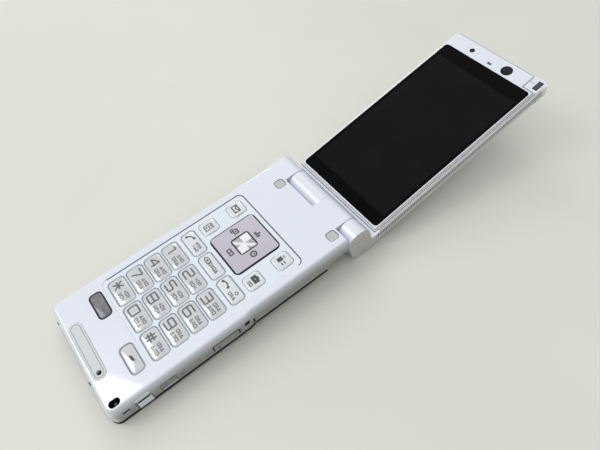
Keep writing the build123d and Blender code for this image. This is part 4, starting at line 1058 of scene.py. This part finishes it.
def side_key_lip():
    """Pale raised lip over the side key, painted light standing in for the lit hollow above it."""
    mesh = bmesh.new()
    rings = []
    for along, share in LIP_SHARES:
        rings.append([vertex(mesh, (RIGHT_X - LIP_SUNK + out * share, along, up))
                      for out, up in LIP_SECTION])
    strip(mesh, rings, False)
    piece("side_key_lip", mesh, "base", "keypad_white")


side_key_lip()

# Lines on the lid's front: the gap round the display panel's right and lower edges with a line
# beside it on the frame, the corner post's seams, and the line along the display's top edge.
PANEL_GAP = [(rounded([(-24.3, 8.63), (23.03, 8.63), (23.03, 96.3)], 0.3), 0.23, False)]
FRAME_LINE = [(rounded([(-24.3, 7.85), (23.72, 7.85), (23.72, 97.0)], 0.5), 0.3, False)]
POST_LINES = [([(17.9, 97.3), (17.9, 103.4)], 0.18, False),
              ([(18.1, 100.7), (20.3, 100.7)], 0.18, False),
              ([(23.4, 100.7), (24.7, 100.7)], 0.18, False)]
TOP_LINE = [([(-23.4, 103.6), (17.2, 103.6)], 0.22, False)]
PANEL_GAP_DEPTH = 0.25
drawn("panel_gap_seal", "frame", PANEL_GAP, level(LID_FRONT - PANEL_GAP_DEPTH), "device_black",
      place=LID_FACE)
drawn("panel_frame_line", "frame", FRAME_LINE, level(LID_FRONT), "device_black", place=LID_FACE)

# Seam across the outer face of the slim bar, near the hinge.
BAR_SEAM = ((0, 8.5, -6.1), (0, 8.5, -7.7))
BAR_SEAM_WIDTH = 0.5
bar_seam = [(LID @ Vector(point)).yz for point in BAR_SEAM]
drawn("bar_end_seam", "frame", [(bar_seam, BAR_SEAM_WIDTH, False)], level(0), "device_black",
      place=RIGHT_WALL)
drawn("corner_post_lines", "frame", POST_LINES, level(LID_FRONT), "battery_dark", FINE_LIFT,
      LID_FACE)
drawn("bezel_top_line", "display", TOP_LINE, level(LID_FRONT), "battery_dark", FINE_LIFT, LID_FACE)

# Short slot line across the hinge's right end.
HINGE_SLOT = [([(-1.2, 2.2), (1.4, -1.6)], 0.4, False)]
drawn("hinge_end_line", "frame", HINGE_SLOT, level(0), "shade_grey", place=HINGE_END)

rear = centre_of("rear_camera")
rear.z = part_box("rear_camera")[0].z / MM
under = Matrix.Translation(rear) @ Matrix.Rotation(math.pi, 4, "X")
lens("rear_camera_lens", "base", under, REAR_CAMERA_R)


# ---------------------------------------------------------------- floor, light and camera

STEEPEST_FLOOR = math.radians(12)
HALVINGS = 40
FLOOR_HALF = 6.0
FLOOR_CELLS = 40


def resting_floor():
    """Slant and height of the floor that the base's front and the hinge's heel both touch."""
    points = []
    for name in ("base_bottom_cover", "battery_cover", "hinge_frame", "display_rear_cover"):
        points += [(v.co.y, v.co.z) for v in frame["nodes"][name].data.vertices]
    low, high = 0.0, STEEPEST_FLOOR
    for _ in range(HALVINGS):
        lean = (low + high) / 2
        heights = [z * math.cos(lean) + y * math.sin(lean) for y, z in points]
        front = min(h for h, (y, z) in zip(heights, points) if y < 0)
        heel = min(h for h, (y, z) in zip(heights, points) if y >= 0)
        if heel < front:
            low = lean
        else:
            high = lean
    return lean, min(front, heel)


def floor():
    lean, height = resting_floor()
    mesh = bmesh.new()
    bmesh.ops.create_grid(mesh, x_segments=FLOOR_CELLS, y_segments=FLOOR_CELLS, size=FLOOR_HALF)
    turn = Matrix.Rotation(-lean, 4, "X")
    bmesh.ops.transform(mesh, matrix=turn @ Matrix.Translation((0, 0, height)), verts=mesh.verts)
    item = made("floor", mesh, "floor_grey")


floor()


def area_light(name, place, target, side, power):
    """A square lamp that looks at a target; metres and watts."""
    lamp = bpy.data.lights.new(name, "AREA")
    lamp.shape = "SQUARE"
    lamp.size = side
    lamp.energy = power
    item = bpy.data.objects.new(name, lamp)
    item.location = place
    direction = Vector(target) - Vector(place)
    item.rotation_euler = direction.to_track_quat("-Z", "Y").to_euler()
    bpy.context.scene.collection.objects.link(item)


area_light("ceiling_light", (-0.428, -0.444, 0.811), (0.02, -0.05, 0.01), 0.44, 1.9)
area_light("window_light", (-1.7, 0.87, 1.28), (0, 0.04, 0), 0.65, 5.0)

SKY_TURN = math.radians(12)
SKY_STRENGTH = 1.02
# Grey levels of the room from its horizon (0) to overhead (1).
SKY_LEVELS = ((0.3, 0.45), (0.65, 0.9))
SKY_HORIZON = 0.02
SKY_ZENITH = 1.0


def sky():
    """Pale room light, brightest overhead and to one side."""
    world = bpy.data.worlds.new("studio")
    world.use_nodes = True
    nodes = world.node_tree.nodes
    links = world.node_tree.links
    place = nodes.new("ShaderNodeTexCoord")
    turned = nodes.new("ShaderNodeMapping")
    turned.inputs["Rotation"].default_value = (0, SKY_TURN, 0)
    split = nodes.new("ShaderNodeSeparateXYZ")
    ramp = nodes.new("ShaderNodeValToRGB")
    ramp.color_ramp.elements[0].color = (SKY_HORIZON, SKY_HORIZON, SKY_HORIZON, 1)
    ramp.color_ramp.elements[1].color = (SKY_ZENITH, SKY_ZENITH, SKY_ZENITH, 1)
    for height, grey in SKY_LEVELS:
        ramp.color_ramp.elements.new(height).color = (grey, grey, grey, 1)
    links.new(place.outputs["Generated"], turned.inputs["Vector"])
    links.new(turned.outputs["Vector"], split.inputs["Vector"])
    links.new(split.outputs["Z"], ramp.inputs["Fac"])
    links.new(ramp.outputs["Color"], nodes["Background"].inputs["Color"])
    nodes["Background"].inputs["Strength"].default_value = SKY_STRENGTH
    bpy.context.scene.world = world


sky()

# Camera at the photograph's angle: its right, up and backward directions, and its place.
RIGHT = (0.6032834996846637, 0.790652345508719, -0.10448869579904513)
UP = (-0.6213171066890357, 0.5480809025173228, 0.5599753362705915)
BACK = (0.5000140717457756, -0.27290326644684537, 0.8218939926893568)
EYE = (0.10709187, -0.01850017, 0.17465005)
FOCAL_LENGTH = 31.4917
SENSOR_WIDTH = 36.0
NEAREST = 0.005

lens_data = bpy.data.cameras.new("camera")
lens_data.sensor_fit = "HORIZONTAL"
lens_data.sensor_width = SENSOR_WIDTH
lens_data.lens = FOCAL_LENGTH
lens_data.clip_start = NEAREST
camera = bpy.data.objects.new("camera", lens_data)
turn = Matrix((RIGHT, UP, BACK)).transposed().to_4x4()
camera.matrix_world = Matrix.Translation(EYE) @ turn
bpy.context.scene.collection.objects.link(camera)
bpy.context.scene.camera = camera
bpy.context.scene.view_settings.view_transform = "Standard"
